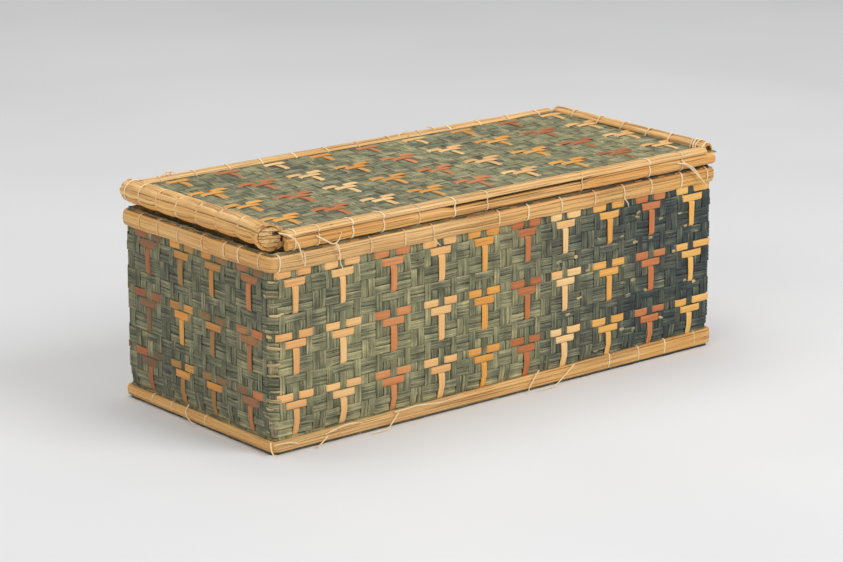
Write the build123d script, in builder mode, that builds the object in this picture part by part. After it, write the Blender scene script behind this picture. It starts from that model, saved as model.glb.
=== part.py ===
"""Keepsake box: a plaited straw box with a lift-off lid, edged with lashed split cane.

The origin is the middle of the underside, +X runs along the length, -Y is the front
and +Z is up. Sizes are in millimetres.
"""

import os
from math import cos, degrees, pi, radians, sin, sqrt, tan

from build123d import *

os.makedirs("parts", exist_ok=True)

# Plaited body
body_length = 376.0
body_depth = 158.0
rim_top = 128.0
corner_radius = 3.0
least_corner_radius = 0.4
mat_thickness = 1.2
lining_thickness = 0.8
layer_gap = 0.15

# Lashing fibre
lash_width = 1.2
lash_thickness = 0.8
lash_gap = 0.1
rim_lash_pitch = 26.5
end_lash_pitch = 22.0
roll_lash_pitch = 20.0

# Upper rim of the base
rim_cane_height = 10.0
rim_cane_thickness = 3.5
rim_cane_edge = 1.2
rim_cane_drop = 0.6
inner_cane_height = 9.0
inner_cane_thickness = 2.5
inner_cane_edge = 1.0
inner_bend_radius = 0.6
top_reed_height = 1.3
scarf_place = -25.0
scarf_length = 18.0
scarf_gap = 0.3

# Lower binding of the base
binding_height_left = 6.7
binding_height_right = 10.8
binding_thickness = 3.3
binding_edge = 1.1
corner_reed_height = 5.0
corner_reed_thickness = 3.0
corner_reed_edge = 1.0
binding_lash_pitch = 25.0
binding_lash_inset = 16.0
front_lashes_left = 4
left_lashes_left = 3

# Lid
lid_clearance = 0.3
lid_rim_height = 12.0
lid_mat_drop = 2.1
lid_margin_fall = 1.3
lid_margin_recess = 1.9
outer_cane_height = 7.2
outer_cane_thickness = 4.0
outer_cane_edge = 1.2
top_cane_width = 11.2
top_cane_inner_edge = 0.5
top_cane_outer_edge = 0.9
core_reed_clearance = 0.15
core_reed_round = 0.45
loop_outer_shoulder = 0.25
loop_inner_shoulder = 0.72
loop_inner_rise = 0.3
hoop_height = 4.0
hoop_thickness = 2.4
hoop_edge = 0.9

# Skirt of the lid
skirt_depth = 22.0
skirt_clearance = 0.7
skirt_corner_radius = 4.0

# End rolls of the lid
left_roll_radius = 7.4
right_roll_radius = 5.2
stave_count = 8
stave_share = 0.32
stave_crown_share = 0.18
stave_gap = 0.3
roll_core_clearance = 0.2
roll_core_recess = 1.5
left_roll_setback = 7.0
right_roll_setback = 4.0
flare_length = 9.0
flare_spread = 0.8
flare_drop = 0.6
roll_loop_sides = 8

# Plait and its dyed motifs
strip_gap = 0.4
float_height = 0.35
front_strip = 5.47
end_strip = 5.15
row_strip = 5.58
lid_strip = 5.85
lid_row_strip = 5.85
plait_repeat = 7
motif_top_drop = 14.1
front_motif_shift = -1.95
end_motif_shift = 0.7
lid_motif_shift = -0.6
lid_motif_top = 67.0
motif_rows = 3
lid_motif_rows = 4
front_dyes = ("peach", "peach", "rust", "peach", "gold", "rust", "peach", "gold", "rust", "gold")
end_dyes = ("rust", "gold", "gold", "rust")
lid_dyes = ("gold", "rust", "peach", "gold", "rust", "peach", "gold", "rust", "peach")

# Places that follow from the sizes above
lining_inset = mat_thickness + layer_gap
inside_inset = lining_inset + lining_thickness
reed_inset = inside_inset + layer_gap
inner_cane_inset = reed_inset + inner_cane_thickness
rim_lash_inset = inner_cane_inset + lash_gap + lash_thickness
mat_top = rim_top - top_reed_height - layer_gap
rim_cane_top = rim_top - rim_cane_drop
rim_cane_foot = rim_cane_top - rim_cane_height
inner_cane_foot = rim_cane_top - inner_cane_height

bottom_lining_foot = mat_thickness + 0.1
bottom_top = bottom_lining_foot + lining_thickness
binding_lash_foot = bottom_top + lash_gap
binding_foot = binding_lash_foot + lash_thickness + lash_gap

lid_foot = rim_top + 2 * (lash_gap + lash_thickness) + lid_clearance
lid_top = lid_foot + lid_rim_height
lid_mat_top = lid_top - lid_mat_drop
lid_mat_foot = lid_mat_top - mat_thickness
lid_lining_top = lid_mat_foot - layer_gap
lid_lining_foot = lid_lining_top - lining_thickness
rim_reach = layer_gap + rim_cane_thickness
skirt_inset = rim_lash_inset + skirt_clearance
skirt_top = lid_lining_foot - layer_gap
skirt_foot = rim_top - skirt_depth
hoop_inset = skirt_inset + mat_thickness + layer_gap

roll_centre_z = lid_mat_top - mat_thickness / 2
roll_half_length = body_depth / 2 + rim_reach
left_roll_inside = 2 * left_roll_radius - rim_reach - body_length / 2
right_roll_inside = body_length / 2 + rim_reach - 2 * right_roll_radius
rim_end_gap = flare_spread + lid_clearance
long_rim_length = right_roll_inside - left_roll_inside - 2 * rim_end_gap
lid_middle = (right_roll_inside + left_roll_inside) / 2
skirt_end_gap = lash_gap + lash_thickness + lid_clearance
skirt_length = right_roll_inside - left_roll_inside - 2 * skirt_end_gap
skirt_width = body_depth - 2 * skirt_inset
lid_lash_inset = hoop_inset + hoop_thickness + lash_gap + lash_thickness
lid_field_depth = body_depth - 2 * (lid_lash_inset + lash_gap)


def spread(span, pitch):
    """Places of evenly spaced lashings over a span, about the pitch apart."""
    count = max(1, round(span / pitch))
    step = span / count
    return [(index + 0.5) * step - span / 2 for index in range(count)]


def body_outline(inset):
    """Length, depth and corner radius of the body's outline, drawn in by an inset."""
    radius = max(corner_radius - inset, least_corner_radius)
    return body_length - 2 * inset, body_depth - 2 * inset, radius


def inner_outline(inset, thickness):
    """Outline of a cane inside the walls, which bends no tighter than its thickness lets it."""
    length, depth, radius = body_outline(inset)
    return length, depth, max(radius, thickness + inner_bend_radius)


def wall_plane(side, place=0.0):
    """Plane across a wall at a place along it: x points out of the wall, y up."""
    across = {
        "front": ((place, -body_depth / 2, 0), (0, -1, 0), (-1, 0, 0)),
        "back": ((place, body_depth / 2, 0), (0, 1, 0), (1, 0, 0)),
        "left": ((-body_length / 2, place, 0), (-1, 0, 0), (0, 1, 0)),
        "right": ((body_length / 2, place, 0), (1, 0, 0), (0, -1, 0)),
    }
    origin, outward, along = across[side]
    return Plane(origin=origin, x_dir=outward, z_dir=along)


def face_plane(side):
    """Plane on a wall's outer face, seen from outside: x to the right, y up."""
    across = wall_plane(side)
    return Plane(origin=across.origin, x_dir=-across.z_dir, z_dir=across.x_dir)


def band(outline, thickness):
    """Rounded frame of a plaited band, drawn in the open sketch."""
    length, depth, radius = outline
    RectangleRounded(length, depth, radius)
    inner_radius = max(radius - thickness, least_corner_radius)
    RectangleRounded(
        length - 2 * thickness, depth - 2 * thickness, inner_radius, mode=Mode.SUBTRACT
    )


def cane_section(foot, height, thickness, edge, side=1, start=0.0):
    """Split cane in section: a flat side at start and a crowned side out of it."""
    with BuildSketch() as section:
        with BuildLine():
            Polyline(
                (start + side * edge, foot), (start, foot),
                (start, foot + height), (start + side * edge, foot + height),
            )
            ThreePointArc(
                (start + side * edge, foot + height),
                (start + side * thickness, foot + height / 2),
                (start + side * edge, foot),
            )
        make_face()
    return section.sketch


def cane_ring(outline, foot, height, thickness, edge, side=1, middle=0.0):
    """Split cane bent round a rounded outline about a middle, with its joint not yet cut."""
    length, depth, radius = outline
    half_x, half_y = length / 2, depth / 2
    with BuildPart() as ring:
        with BuildLine():
            FilletPolyline(
                (middle, -half_y), (middle - half_x, -half_y), (middle - half_x, half_y),
                (middle + half_x, half_y), (middle + half_x, -half_y),
                radius=(0, radius, radius, radius, radius),
                close=True,
            )
        with BuildSketch(Plane(origin=(middle, -half_y, 0), x_dir=(0, -1, 0), z_dir=(-1, 0, 0))):
            add(cane_section(foot, height, thickness, edge, side))
        sweep()
    return ring


def scarf_plane(foot, height, shift):
    """Slanting plane of the joint where a rim's two lengths of cane meet."""
    return Plane(
        origin=(0, scarf_place + shift, foot + height / 2),
        x_dir=(1, 0, 0),
        z_dir=(0, height, scarf_length),
    )


def crown_corner(start, foot, height, thickness, edge, up):
    """Two points of a lashing where it rounds the lower or upper edge of a cane."""
    rise = thickness - edge
    radius = ((height / 2) ** 2 + rise ** 2) / (2 * rise) + lash_gap
    centre = start + thickness + lash_gap - radius
    middle = foot + height / 2
    reach = height / 2 + lash_gap
    flat_point = (centre + sqrt(2) * radius - reach, middle + up * reach)
    side_point = (centre + radius, middle + up * (sqrt(2) - 1) * radius)
    return flat_point, side_point


def loop_section(points):
    """Closed loop of lashing fibre round the given points."""
    with BuildSketch() as section:
        with BuildLine():
            Polyline(*points, close=True)
        make_face()
        offset(amount=lash_thickness, kind=Kind.INTERSECTION)
        with BuildLine():
            Polyline(*points, close=True)
        make_face(mode=Mode.SUBTRACT)
    return section.sketch


def motif(strip, row):
    """Dyed floats of one motif: two arms, a bar under them and a stem."""
    with Locations((-1.5 * strip, 0), (1.5 * strip, 0)):
        Rectangle(2 * strip - strip_gap, row - strip_gap)
    with Locations((0, -row)):
        Rectangle(3 * strip - strip_gap, row - strip_gap)
    with Locations((0, -3 * row)):
        Rectangle(strip - strip_gap, 3 * row - strip_gap)


def motif_places(dyes, dye, strip, shift, first_row, row, rows):
    """Centres of the motifs of one dye, in columns along the wall."""
    middle = (len(dyes) - 1) / 2
    return [
        (shift + (column - middle) * plait_repeat * strip, first_row - index * plait_repeat * row)
        for column, name in enumerate(dyes)
        for index in range(rows)
        if name == dye
    ]


# Side mat: one plaited band round the four sides, down to the floor
with BuildPart() as side_mat:
    with BuildSketch():
        band(body_outline(0), mat_thickness)
    extrude(amount=mat_top)

# Side lining: a finer plaited band inside the first
with BuildPart() as side_lining:
    with BuildSketch(Plane.XY.offset(bottom_lining_foot)):
        band(body_outline(lining_inset), lining_thickness)
    extrude(amount=mat_top - bottom_lining_foot)

# Bottom: an outer mat and a lining, both inside the side bands
with BuildPart() as bottom_mat:
    with BuildSketch():
        RectangleRounded(*body_outline(lining_inset))
    extrude(amount=mat_thickness)

with BuildPart() as bottom_lining:
    with BuildSketch(Plane.XY.offset(bottom_lining_foot)):
        RectangleRounded(*body_outline(reed_inset))
    extrude(amount=lining_thickness)

# Upper rim: an outer cane in two lengths with slanting joints at the ends of the box
rim_cane_size = (rim_cane_foot, rim_cane_height, rim_cane_thickness, rim_cane_edge)

with BuildPart() as rim_front_cane:
    add(cane_ring(body_outline(-layer_gap), *rim_cane_size).part)
    split(bisect_by=scarf_plane(rim_cane_foot, rim_cane_height, -scarf_gap), keep=Keep.BOTTOM)

with BuildPart() as rim_back_cane:
    add(cane_ring(body_outline(-layer_gap), *rim_cane_size).part)
    split(bisect_by=scarf_plane(rim_cane_foot, rim_cane_height, scarf_gap), keep=Keep.TOP)

rim_inner_cane = cane_ring(
    inner_outline(reed_inset, inner_cane_thickness), inner_cane_foot, inner_cane_height,
    inner_cane_thickness, inner_cane_edge, side=-1,
)

# Top reed: a thin strip over the raw edges of the mats, between the two canes
with BuildPart() as rim_top_reed:
    with BuildSketch(Plane.XY.offset(rim_top - top_reed_height)):
        band(body_outline(0), reed_inset - layer_gap)
    extrude(amount=top_reed_height)

# Rim lashing: loops through the plait below the canes and over the top
rim_loop = [
    (-inner_cane_inset - lash_gap, rim_cane_foot - lash_gap),
    *crown_corner(layer_gap, *rim_cane_size, up=-1),
    crown_corner(layer_gap, *rim_cane_size, up=1)[1],
    (layer_gap + rim_cane_edge + lash_gap, rim_top + lash_gap),
    (-inner_cane_inset - lash_gap, rim_top + lash_gap),
]
straight_length = body_length - 2 * corner_radius
straight_depth = body_depth - 2 * corner_radius
rim_lash_planes = [
    wall_plane(side, place)
    for side, span, pitch in (
        ("front", straight_length, rim_lash_pitch),
        ("back", straight_length, rim_lash_pitch),
        ("left", straight_depth, end_lash_pitch),
        ("right", straight_depth, end_lash_pitch),
    )
    for place in spread(span, pitch)
]
with BuildPart() as rim_lashing:
    with BuildSketch(*rim_lash_planes):
        add(loop_section(rim_loop))
    extrude(amount=lash_width / 2, both=True)


def binding_height(x):
    """Height of the lower binding cane, which widens from the left to the right."""
    share = x / body_length + 0.5
    return binding_height_left + share * (binding_height_right - binding_height_left)


def binding_cane(keep, shift):
    """One length of the lower binding, cut to its taper."""
    taper = Plane(
        origin=(0, 0, binding_foot + binding_height(0)),
        x_dir=(0, 1, 0),
        z_dir=(binding_height_left - binding_height_right, 0, body_length),
    )
    with BuildPart() as cane:
        add(
            cane_ring(
                body_outline(-layer_gap), binding_foot, binding_height_right,
                binding_thickness, binding_edge,
            ).part
        )
        split(bisect_by=taper, keep=Keep.BOTTOM)
        split(bisect_by=scarf_plane(binding_foot, binding_height_left, shift), keep=keep)
    return cane


binding_front_cane = binding_cane(Keep.BOTTOM, -scarf_gap)
binding_back_cane = binding_cane(Keep.TOP, scarf_gap)

# Corner reed: holds the bottom mats in their corner from inside
binding_corner_reed = cane_ring(
    inner_outline(reed_inset, corner_reed_thickness), binding_foot, corner_reed_height,
    corner_reed_thickness, corner_reed_edge, side=-1,
)


def binding_loop(height):
    """Points of a lower lashing where the cane has the given height."""
    inside = -reed_inset - corner_reed_thickness - lash_gap
    foot = binding_foot - lash_gap
    top = binding_foot + max(height, corner_reed_height) + lash_gap
    outside = layer_gap + binding_thickness + lash_gap
    lower, side = crown_corner(
        layer_gap, binding_foot, binding_height_right, binding_thickness, binding_edge, up=-1
    )
    return [(inside, foot), lower, side, (outside, top), (inside, top)]


front_end = straight_length / 2 - binding_lash_inset
left_end = straight_depth / 2 - binding_lash_inset
binding_lash_places = [
    *[("front", front_end - index * binding_lash_pitch) for index in range(front_lashes_left)],
    *[("left", left_end - index * binding_lash_pitch) for index in range(left_lashes_left)],
    *[("back", place) for place in spread(straight_length, binding_lash_pitch)],
    *[("right", place) for place in spread(straight_depth, binding_lash_pitch)],
]
with BuildPart() as binding_lashing:
    for side, place in binding_lash_places:
        at_x = {"left": -body_length / 2, "right": body_length / 2}.get(side, place)
        with BuildSketch(wall_plane(side, place)):
            add(loop_section(binding_loop(binding_height(at_x))))
        extrude(amount=lash_width / 2, both=True)

# End rolls: places and sizes, a thick one on the left and a thin one on the right
LEFT, RIGHT = -1, 1


def roll_radius(side):
    """Outer radius of one end roll."""
    return left_roll_radius if side == LEFT else right_roll_radius


def roll_centre_x(side):
    """Place of a roll's middle line, with its outer side flush with the rims."""
    return side * (body_length / 2 + rim_reach - roll_radius(side))


def roll_core_radius(side):
    """Radius of the split core inside the staves."""
    return roll_radius(side) * (1 - stave_share) - roll_core_clearance


def roll_ends(side):
    """Places of a roll's front and rear ends: the left stops short in front, the right behind."""
    if side == LEFT:
        return left_roll_setback - roll_half_length, roll_half_length
    return -roll_half_length, roll_half_length - right_roll_setback


def roll_plane(side, y):
    """Plane across an end roll at a place along it: x points out of the box, y up."""
    return Plane(origin=(roll_centre_x(side), y, roll_centre_z), x_dir=(side, 0, 0), z_dir=(0, -side, 0))


# Lid mat: flat over the box, its long margins turned down into the rims
half_depth = body_depth / 2
margin_start = half_depth - skirt_inset + layer_gap
margin_end = half_depth + rim_reach - lid_margin_recess
lid_section = [
    (-margin_end, lid_mat_foot - lid_margin_fall), (-margin_start, lid_mat_foot),
    (margin_start, lid_mat_foot), (margin_end, lid_mat_foot - lid_margin_fall),
    (margin_end, lid_mat_top - lid_margin_fall), (margin_start, lid_mat_top),
    (-margin_start, lid_mat_top), (-margin_end, lid_mat_top - lid_margin_fall),
]
mat_left_end = roll_centre_x(LEFT) - roll_core_radius(LEFT)
mat_right_end = roll_centre_x(RIGHT) + roll_core_radius(RIGHT)
with BuildPart() as lid_mat:
    with BuildSketch(Plane.YZ.offset(lid_middle)):
        with BuildLine():
            Polyline(*lid_section, close=True)
        make_face()
    extrude(amount=long_rim_length / 2, both=True)
    with BuildSketch(Plane.XY.offset(lid_mat_foot)):
        with Locations(((mat_left_end + mat_right_end) / 2, 0)):
            Rectangle(mat_right_end - mat_left_end, 2 * margin_start)
    extrude(amount=mat_thickness)

with BuildPart() as lid_lining:
    with BuildSketch(Plane.XY.offset(lid_lining_foot)):
        with Locations((lid_middle, 0)):
            Rectangle(skirt_length, 2 * margin_start)
    extrude(amount=lining_thickness)

# Skirt: a plaited band that hangs inside the base and keeps the lid in place
with BuildPart() as lid_skirt:
    with BuildSketch(Plane.XY.offset(skirt_foot)):
        with Locations((lid_middle, 0)):
            band((skirt_length, skirt_width, skirt_corner_radius), mat_thickness)
    extrude(amount=skirt_top - skirt_foot)

hoop_outline = (
    skirt_length - 2 * (mat_thickness + layer_gap),
    skirt_width - 2 * (mat_thickness + layer_gap),
    skirt_corner_radius - mat_thickness - layer_gap,
)
hoop_size = (hoop_height, hoop_thickness, hoop_edge)
skirt_lower_hoop = cane_ring(hoop_outline, skirt_foot, *hoop_size, side=-1, middle=lid_middle)
skirt_upper_hoop = cane_ring(hoop_outline, lid_foot, *hoop_size, side=-1, middle=lid_middle)

# Front and back rims of the lid, each of an outer cane, a top cane and a core reed
outer_cane_start = rim_reach - outer_cane_thickness
outer_cane_size = (lid_foot, outer_cane_height, outer_cane_thickness, outer_cane_edge)
top_cane_inside = rim_reach - top_cane_width
margin_slope = lid_margin_fall / (margin_end - margin_start)


def top_cane_section():
    """Flat-bottomed cane over the mat's turned-down margin, crowned above."""
    def under(u):
        past_start = max(0.0, u + half_depth - margin_start)
        return lid_mat_top + layer_gap - past_start * margin_slope

    bend = margin_start - half_depth
    inner = (top_cane_inside, under(top_cane_inside) + top_cane_inner_edge)
    outer = (rim_reach, under(rim_reach) + top_cane_outer_edge)
    with BuildSketch() as section:
        with BuildLine():
            ThreePointArc(outer, (top_cane_inside + top_cane_width / 2, lid_top), inner)
            Polyline(
                inner, (top_cane_inside, under(top_cane_inside)), (bend, under(bend)),
                (rim_reach, under(rim_reach)), outer,
            )
        make_face()
    return section.sketch


def lid_rim(side):
    """Outer cane, top cane and core reed of one long rim."""
    across = wall_plane(side, lid_middle)
    with BuildPart() as outer_cane:
        with BuildSketch(across):
            add(cane_section(*outer_cane_size, start=outer_cane_start))
        extrude(amount=long_rim_length / 2, both=True)
    with BuildPart() as top_cane:
        with BuildSketch(across):
            add(top_cane_section())
        extrude(amount=long_rim_length / 2, both=True)
    core_outside = outer_cane_start - core_reed_clearance
    core_width = core_outside + skirt_inset - core_reed_clearance
    core_top = lid_mat_foot - lid_margin_fall
    core_height = core_top - lid_foot - core_reed_clearance
    with BuildPart() as core_reed:
        with BuildSketch(across):
            with Locations((core_outside - core_width / 2, core_top - core_height / 2)):
                RectangleRounded(core_width, core_height, core_width * core_reed_round)
        extrude(amount=long_rim_length / 2, both=True)
    return outer_cane, top_cane, core_reed


lid_front_outer_cane, lid_front_top_cane, lid_front_core_reed = lid_rim("front")
lid_back_outer_cane, lid_back_top_cane, lid_back_core_reed = lid_rim("back")

# Lashing of the lid's long rims: through mat and skirt, round all the canes
lid_loop_inside = lash_thickness - lid_lash_inset
lid_loop = [
    (lid_loop_inside, lid_foot - lash_gap),
    *crown_corner(outer_cane_start, *outer_cane_size, up=-1),
    (rim_reach + lash_gap, lid_mat_top + lash_gap),
    (rim_reach - top_cane_width * loop_outer_shoulder, lid_top + lash_gap),
    (rim_reach - top_cane_width * loop_inner_shoulder, lid_top + lash_gap),
    (lid_loop_inside, lid_mat_top + loop_inner_rise),
]
lid_lash_planes = [
    wall_plane(side, lid_middle + place)
    for side in ("front", "back")
    for place in spread(long_rim_length, rim_lash_pitch)
]
with BuildPart() as lid_rim_lashing:
    with BuildSketch(*lid_lash_planes):
        add(loop_section(lid_loop))
    extrude(amount=lash_width / 2, both=True)

# End rolls: staves round a split core that grips the mat's end, open where it enters
stave_angle = 360 / stave_count


def stave_section(radius, angle, spread_out, drop):
    """One stave of a roll in section, moved out from the middle and down."""
    inner = radius * (1 - stave_share)
    shoulder = radius * (1 - stave_crown_share)
    half_inner = inner * tan(radians(stave_angle / 2)) - stave_gap / 2
    half_outer = shoulder * tan(radians(stave_angle / 2)) - stave_gap / 2
    with BuildSketch() as section:
        with BuildLine():
            Polyline(
                (shoulder, half_outer), (inner, half_inner), (inner, -half_inner), (shoulder, -half_outer)
            )
            ThreePointArc((shoulder, -half_outer), (radius, 0), (shoulder, half_outer))
        make_face()
    shift = (spread_out * cos(radians(angle)), spread_out * sin(radians(angle)) - drop, 0)
    return section.sketch.moved(Location(shift, (0, 0, angle)))


def roll_staves(side):
    """Staves of one end roll, splayed at both ends where no lashing holds them."""
    radius = roll_radius(side)
    front, rear = roll_ends(side)
    lashed_front, lashed_rear = front + flare_length, rear - flare_length
    with BuildPart() as staves:
        for index in range(stave_count):
            angle = index * stave_angle
            if abs(angle - 180) < stave_angle / 2:
                continue
            with BuildSketch(roll_plane(side, (lashed_front + lashed_rear) / 2)):
                add(stave_section(radius, angle, 0, 0))
            extrude(amount=(lashed_rear - lashed_front) / 2, both=True)
            for lashed, end in ((lashed_front, front), (lashed_rear, rear)):
                with BuildSketch(roll_plane(side, lashed)):
                    add(stave_section(radius, angle, 0, 0))
                with BuildSketch(roll_plane(side, end)):
                    add(stave_section(radius, angle, flare_spread, flare_drop))
                loft(ruled=True)
    return staves


def roll_core(side, upper):
    """Half-round core of one end roll, above or below the mat's end."""
    cut = mat_thickness / 2 + layer_gap
    radius = roll_core_radius(side)
    front, rear = roll_ends(side)
    with BuildPart() as core:
        with BuildSketch(roll_plane(side, (front + rear) / 2)):
            Circle(radius)
            with Locations((0, -radius if upper else radius)):
                Rectangle(2 * radius, 2 * (radius + cut), mode=Mode.SUBTRACT)
        extrude(amount=(rear - front) / 2 - roll_core_recess, both=True)
    return core


left_roll_staves = roll_staves(LEFT)
right_roll_staves = roll_staves(RIGHT)
left_roll_upper_core = roll_core(LEFT, True)
left_roll_lower_core = roll_core(LEFT, False)
right_roll_upper_core = roll_core(RIGHT, True)
right_roll_lower_core = roll_core(RIGHT, False)

# Lashing of the end rolls: eight-sided loops that pass through the mat
loop_half_angle = pi / roll_loop_sides


def roll_lashes(side):
    """Loops of one end roll, between its splayed ends."""
    front, rear = roll_ends(side)
    middle = (front + rear) / 2
    lashed_length = rear - front - 2 * flare_length
    places = [middle + place for place in spread(lashed_length, roll_lash_pitch)]
    inside = (roll_radius(side) + lash_gap) / cos(loop_half_angle)
    outside = inside + lash_thickness / cos(loop_half_angle)
    with BuildPart() as lashes:
        with BuildSketch(*[roll_plane(side, place) for place in places]):
            RegularPolygon(outside, roll_loop_sides, rotation=degrees(loop_half_angle))
            RegularPolygon(
                inside, roll_loop_sides, rotation=degrees(loop_half_angle), mode=Mode.SUBTRACT
            )
        extrude(amount=lash_width / 2, both=True)
    return lashes


left_roll_lashing = roll_lashes(LEFT)
right_roll_lashing = roll_lashes(RIGHT)


def wall_field(side, span):
    """Part of a wall's face between the canes, where floats show."""
    half_length = body_length / 2
    ends = {
        "front": (-half_length, half_length),
        "back": (half_length, -half_length),
        "left": (-half_length, -half_length),
        "right": (half_length, half_length),
    }
    cover = binding_foot + 2 * lash_gap + lash_thickness
    foot_left, foot_right = (cover + binding_height(x) for x in ends[side])
    top = rim_cane_foot - 2 * lash_gap - lash_thickness
    with BuildSketch() as field:
        with BuildLine():
            Polyline(
                (-span / 2, foot_left), (span / 2, foot_right), (span / 2, top), (-span / 2, top),
                close=True,
            )
        make_face()
    return field.sketch


def base_straws(dye):
    """Floats of one dye on the four walls."""
    first_row = rim_top - motif_top_drop
    walls = (
        ("front", front_dyes, front_strip, front_motif_shift, straight_length),
        ("back", front_dyes, front_strip, front_motif_shift, straight_length),
        ("left", end_dyes, end_strip, end_motif_shift, straight_depth),
        ("right", end_dyes, end_strip, end_motif_shift, straight_depth),
    )
    with BuildPart() as straws:
        for side, dyes, strip, shift, span in walls:
            places = motif_places(dyes, dye, strip, shift, first_row, row_strip, motif_rows)
            if not places:
                continue
            with BuildSketch(face_plane(side)):
                with Locations(*places):
                    motif(strip, row_strip)
                add(wall_field(side, span), mode=Mode.INTERSECT)
            extrude(amount=float_height)
    return straws


def lid_straws(dye):
    """Floats of one dye on the lid, up to the edge of the top canes."""
    places = motif_places(
        lid_dyes, dye, lid_strip, lid_motif_shift, lid_motif_top, lid_row_strip, lid_motif_rows
    )
    with BuildPart() as straws:
        with BuildSketch(Plane.XY.offset(lid_mat_top)):
            with Locations(*places):
                motif(lid_strip, lid_row_strip)
            with Locations((lid_middle, 0)):
                Rectangle(skirt_length, lid_field_depth, mode=Mode.INTERSECT)
        extrude(amount=float_height)
    return straws


base_peach_straws = base_straws("peach")
base_gold_straws = base_straws("gold")
base_rust_straws = base_straws("rust")
lid_peach_straws = lid_straws("peach")
lid_gold_straws = lid_straws("gold")
lid_rust_straws = lid_straws("rust")

pieces = {
    "side_mat": side_mat,
    "side_lining": side_lining,
    "bottom_mat": bottom_mat,
    "bottom_lining": bottom_lining,
    "rim_front_cane": rim_front_cane,
    "rim_back_cane": rim_back_cane,
    "rim_inner_cane": rim_inner_cane,
    "rim_top_reed": rim_top_reed,
    "rim_lashing": rim_lashing,
    "binding_front_cane": binding_front_cane,
    "binding_back_cane": binding_back_cane,
    "binding_corner_reed": binding_corner_reed,
    "binding_lashing": binding_lashing,
    "base_peach_straws": base_peach_straws,
    "base_gold_straws": base_gold_straws,
    "base_rust_straws": base_rust_straws,
    "lid_mat": lid_mat,
    "lid_lining": lid_lining,
    "lid_skirt": lid_skirt,
    "skirt_lower_hoop": skirt_lower_hoop,
    "skirt_upper_hoop": skirt_upper_hoop,
    "lid_front_outer_cane": lid_front_outer_cane,
    "lid_front_top_cane": lid_front_top_cane,
    "lid_front_core_reed": lid_front_core_reed,
    "lid_back_outer_cane": lid_back_outer_cane,
    "lid_back_top_cane": lid_back_top_cane,
    "lid_back_core_reed": lid_back_core_reed,
    "lid_rim_lashing": lid_rim_lashing,
    "left_roll_staves": left_roll_staves,
    "left_roll_upper_core": left_roll_upper_core,
    "left_roll_lower_core": left_roll_lower_core,
    "left_roll_lashing": left_roll_lashing,
    "right_roll_staves": right_roll_staves,
    "right_roll_upper_core": right_roll_upper_core,
    "right_roll_lower_core": right_roll_lower_core,
    "right_roll_lashing": right_roll_lashing,
    "lid_peach_straws": lid_peach_straws,
    "lid_gold_straws": lid_gold_straws,
    "lid_rust_straws": lid_rust_straws,
}
for name, piece in pieces.items():
    piece.part.label = name
    export_step(piece.part, f"parts/{name}.step")
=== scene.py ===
"""Looks of a keepsake box of plaited dyed straw, with cane rims, end rolls and fibre lashings."""
import logging
import math
from dataclasses import dataclass, field
from enum import Enum
from typing import Callable, Protocol, Sequence

import bpy
import numpy as np
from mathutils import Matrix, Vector


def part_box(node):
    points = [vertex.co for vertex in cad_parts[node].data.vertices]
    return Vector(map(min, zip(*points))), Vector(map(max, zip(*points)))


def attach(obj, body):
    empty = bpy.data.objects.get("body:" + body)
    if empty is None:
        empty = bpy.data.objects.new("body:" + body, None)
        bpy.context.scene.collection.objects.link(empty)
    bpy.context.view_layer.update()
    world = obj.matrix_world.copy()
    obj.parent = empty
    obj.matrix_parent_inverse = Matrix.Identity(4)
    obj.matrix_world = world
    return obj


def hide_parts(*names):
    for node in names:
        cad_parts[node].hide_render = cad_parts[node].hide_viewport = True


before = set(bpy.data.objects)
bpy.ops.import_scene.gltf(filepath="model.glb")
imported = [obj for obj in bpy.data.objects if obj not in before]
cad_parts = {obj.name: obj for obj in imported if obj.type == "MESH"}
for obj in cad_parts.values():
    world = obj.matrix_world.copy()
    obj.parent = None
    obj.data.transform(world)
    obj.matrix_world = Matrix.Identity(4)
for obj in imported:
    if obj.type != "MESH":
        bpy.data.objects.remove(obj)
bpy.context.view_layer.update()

log = logging.getLogger("keepsake_box")

Array = np.ndarray
Piece = bpy.types.Object
Socket = bpy.types.NodeSocket
Material = bpy.types.Material
Colour = tuple[float, float, float]

MM = 0.001
CM = 0.01
MOST_RING_STEPS = 256
MOST_CUTS = 20
SAME_PLACE = 1e-6
PINCH = 0.3 * MM
PINCH_REACH = 2.6 * MM
MARGIN_SLOPE = 0.1625
GRAIN = "grain"
SHADE = "shade"


class Body(Enum):
    """The two bodies of the box."""

    BASE = "base"
    LID = "lid"


class Dye(Enum):
    """Colours of the straws laid in as motifs."""

    PEACH = "peach"
    GOLD = "gold"
    RUST = "rust"


class Side(Enum):
    """The four walls, in the order in which the outline is walked."""

    FRONT = 0
    RIGHT = 1
    BACK = 2
    LEFT = 3


# Frames and surfaces


def table(*values: Array) -> Array:
    """Puts values side by side, so that each point has a row."""
    return np.stack(values, axis=1)


def turned(direction: Array) -> Array:
    """Level directions, as rows of x and y, turned a quarter to the left."""
    return table(-direction[:, 1], direction[:, 0])


def unit(rows: Array) -> Array:
    """Each row at a length of one."""
    return rows / np.linalg.norm(rows, axis=1)[:, None]


def run_along(line: Array, closed: bool = True) -> Array:
    """Distance along a line to each of its points, and to the first one again if it is closed."""
    gaps = np.diff(line, axis=0, append=line[:1]) if closed else np.diff(line, axis=0)
    return np.concatenate([[0.0], np.cumsum(np.linalg.norm(gaps, axis=1))])


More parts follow.
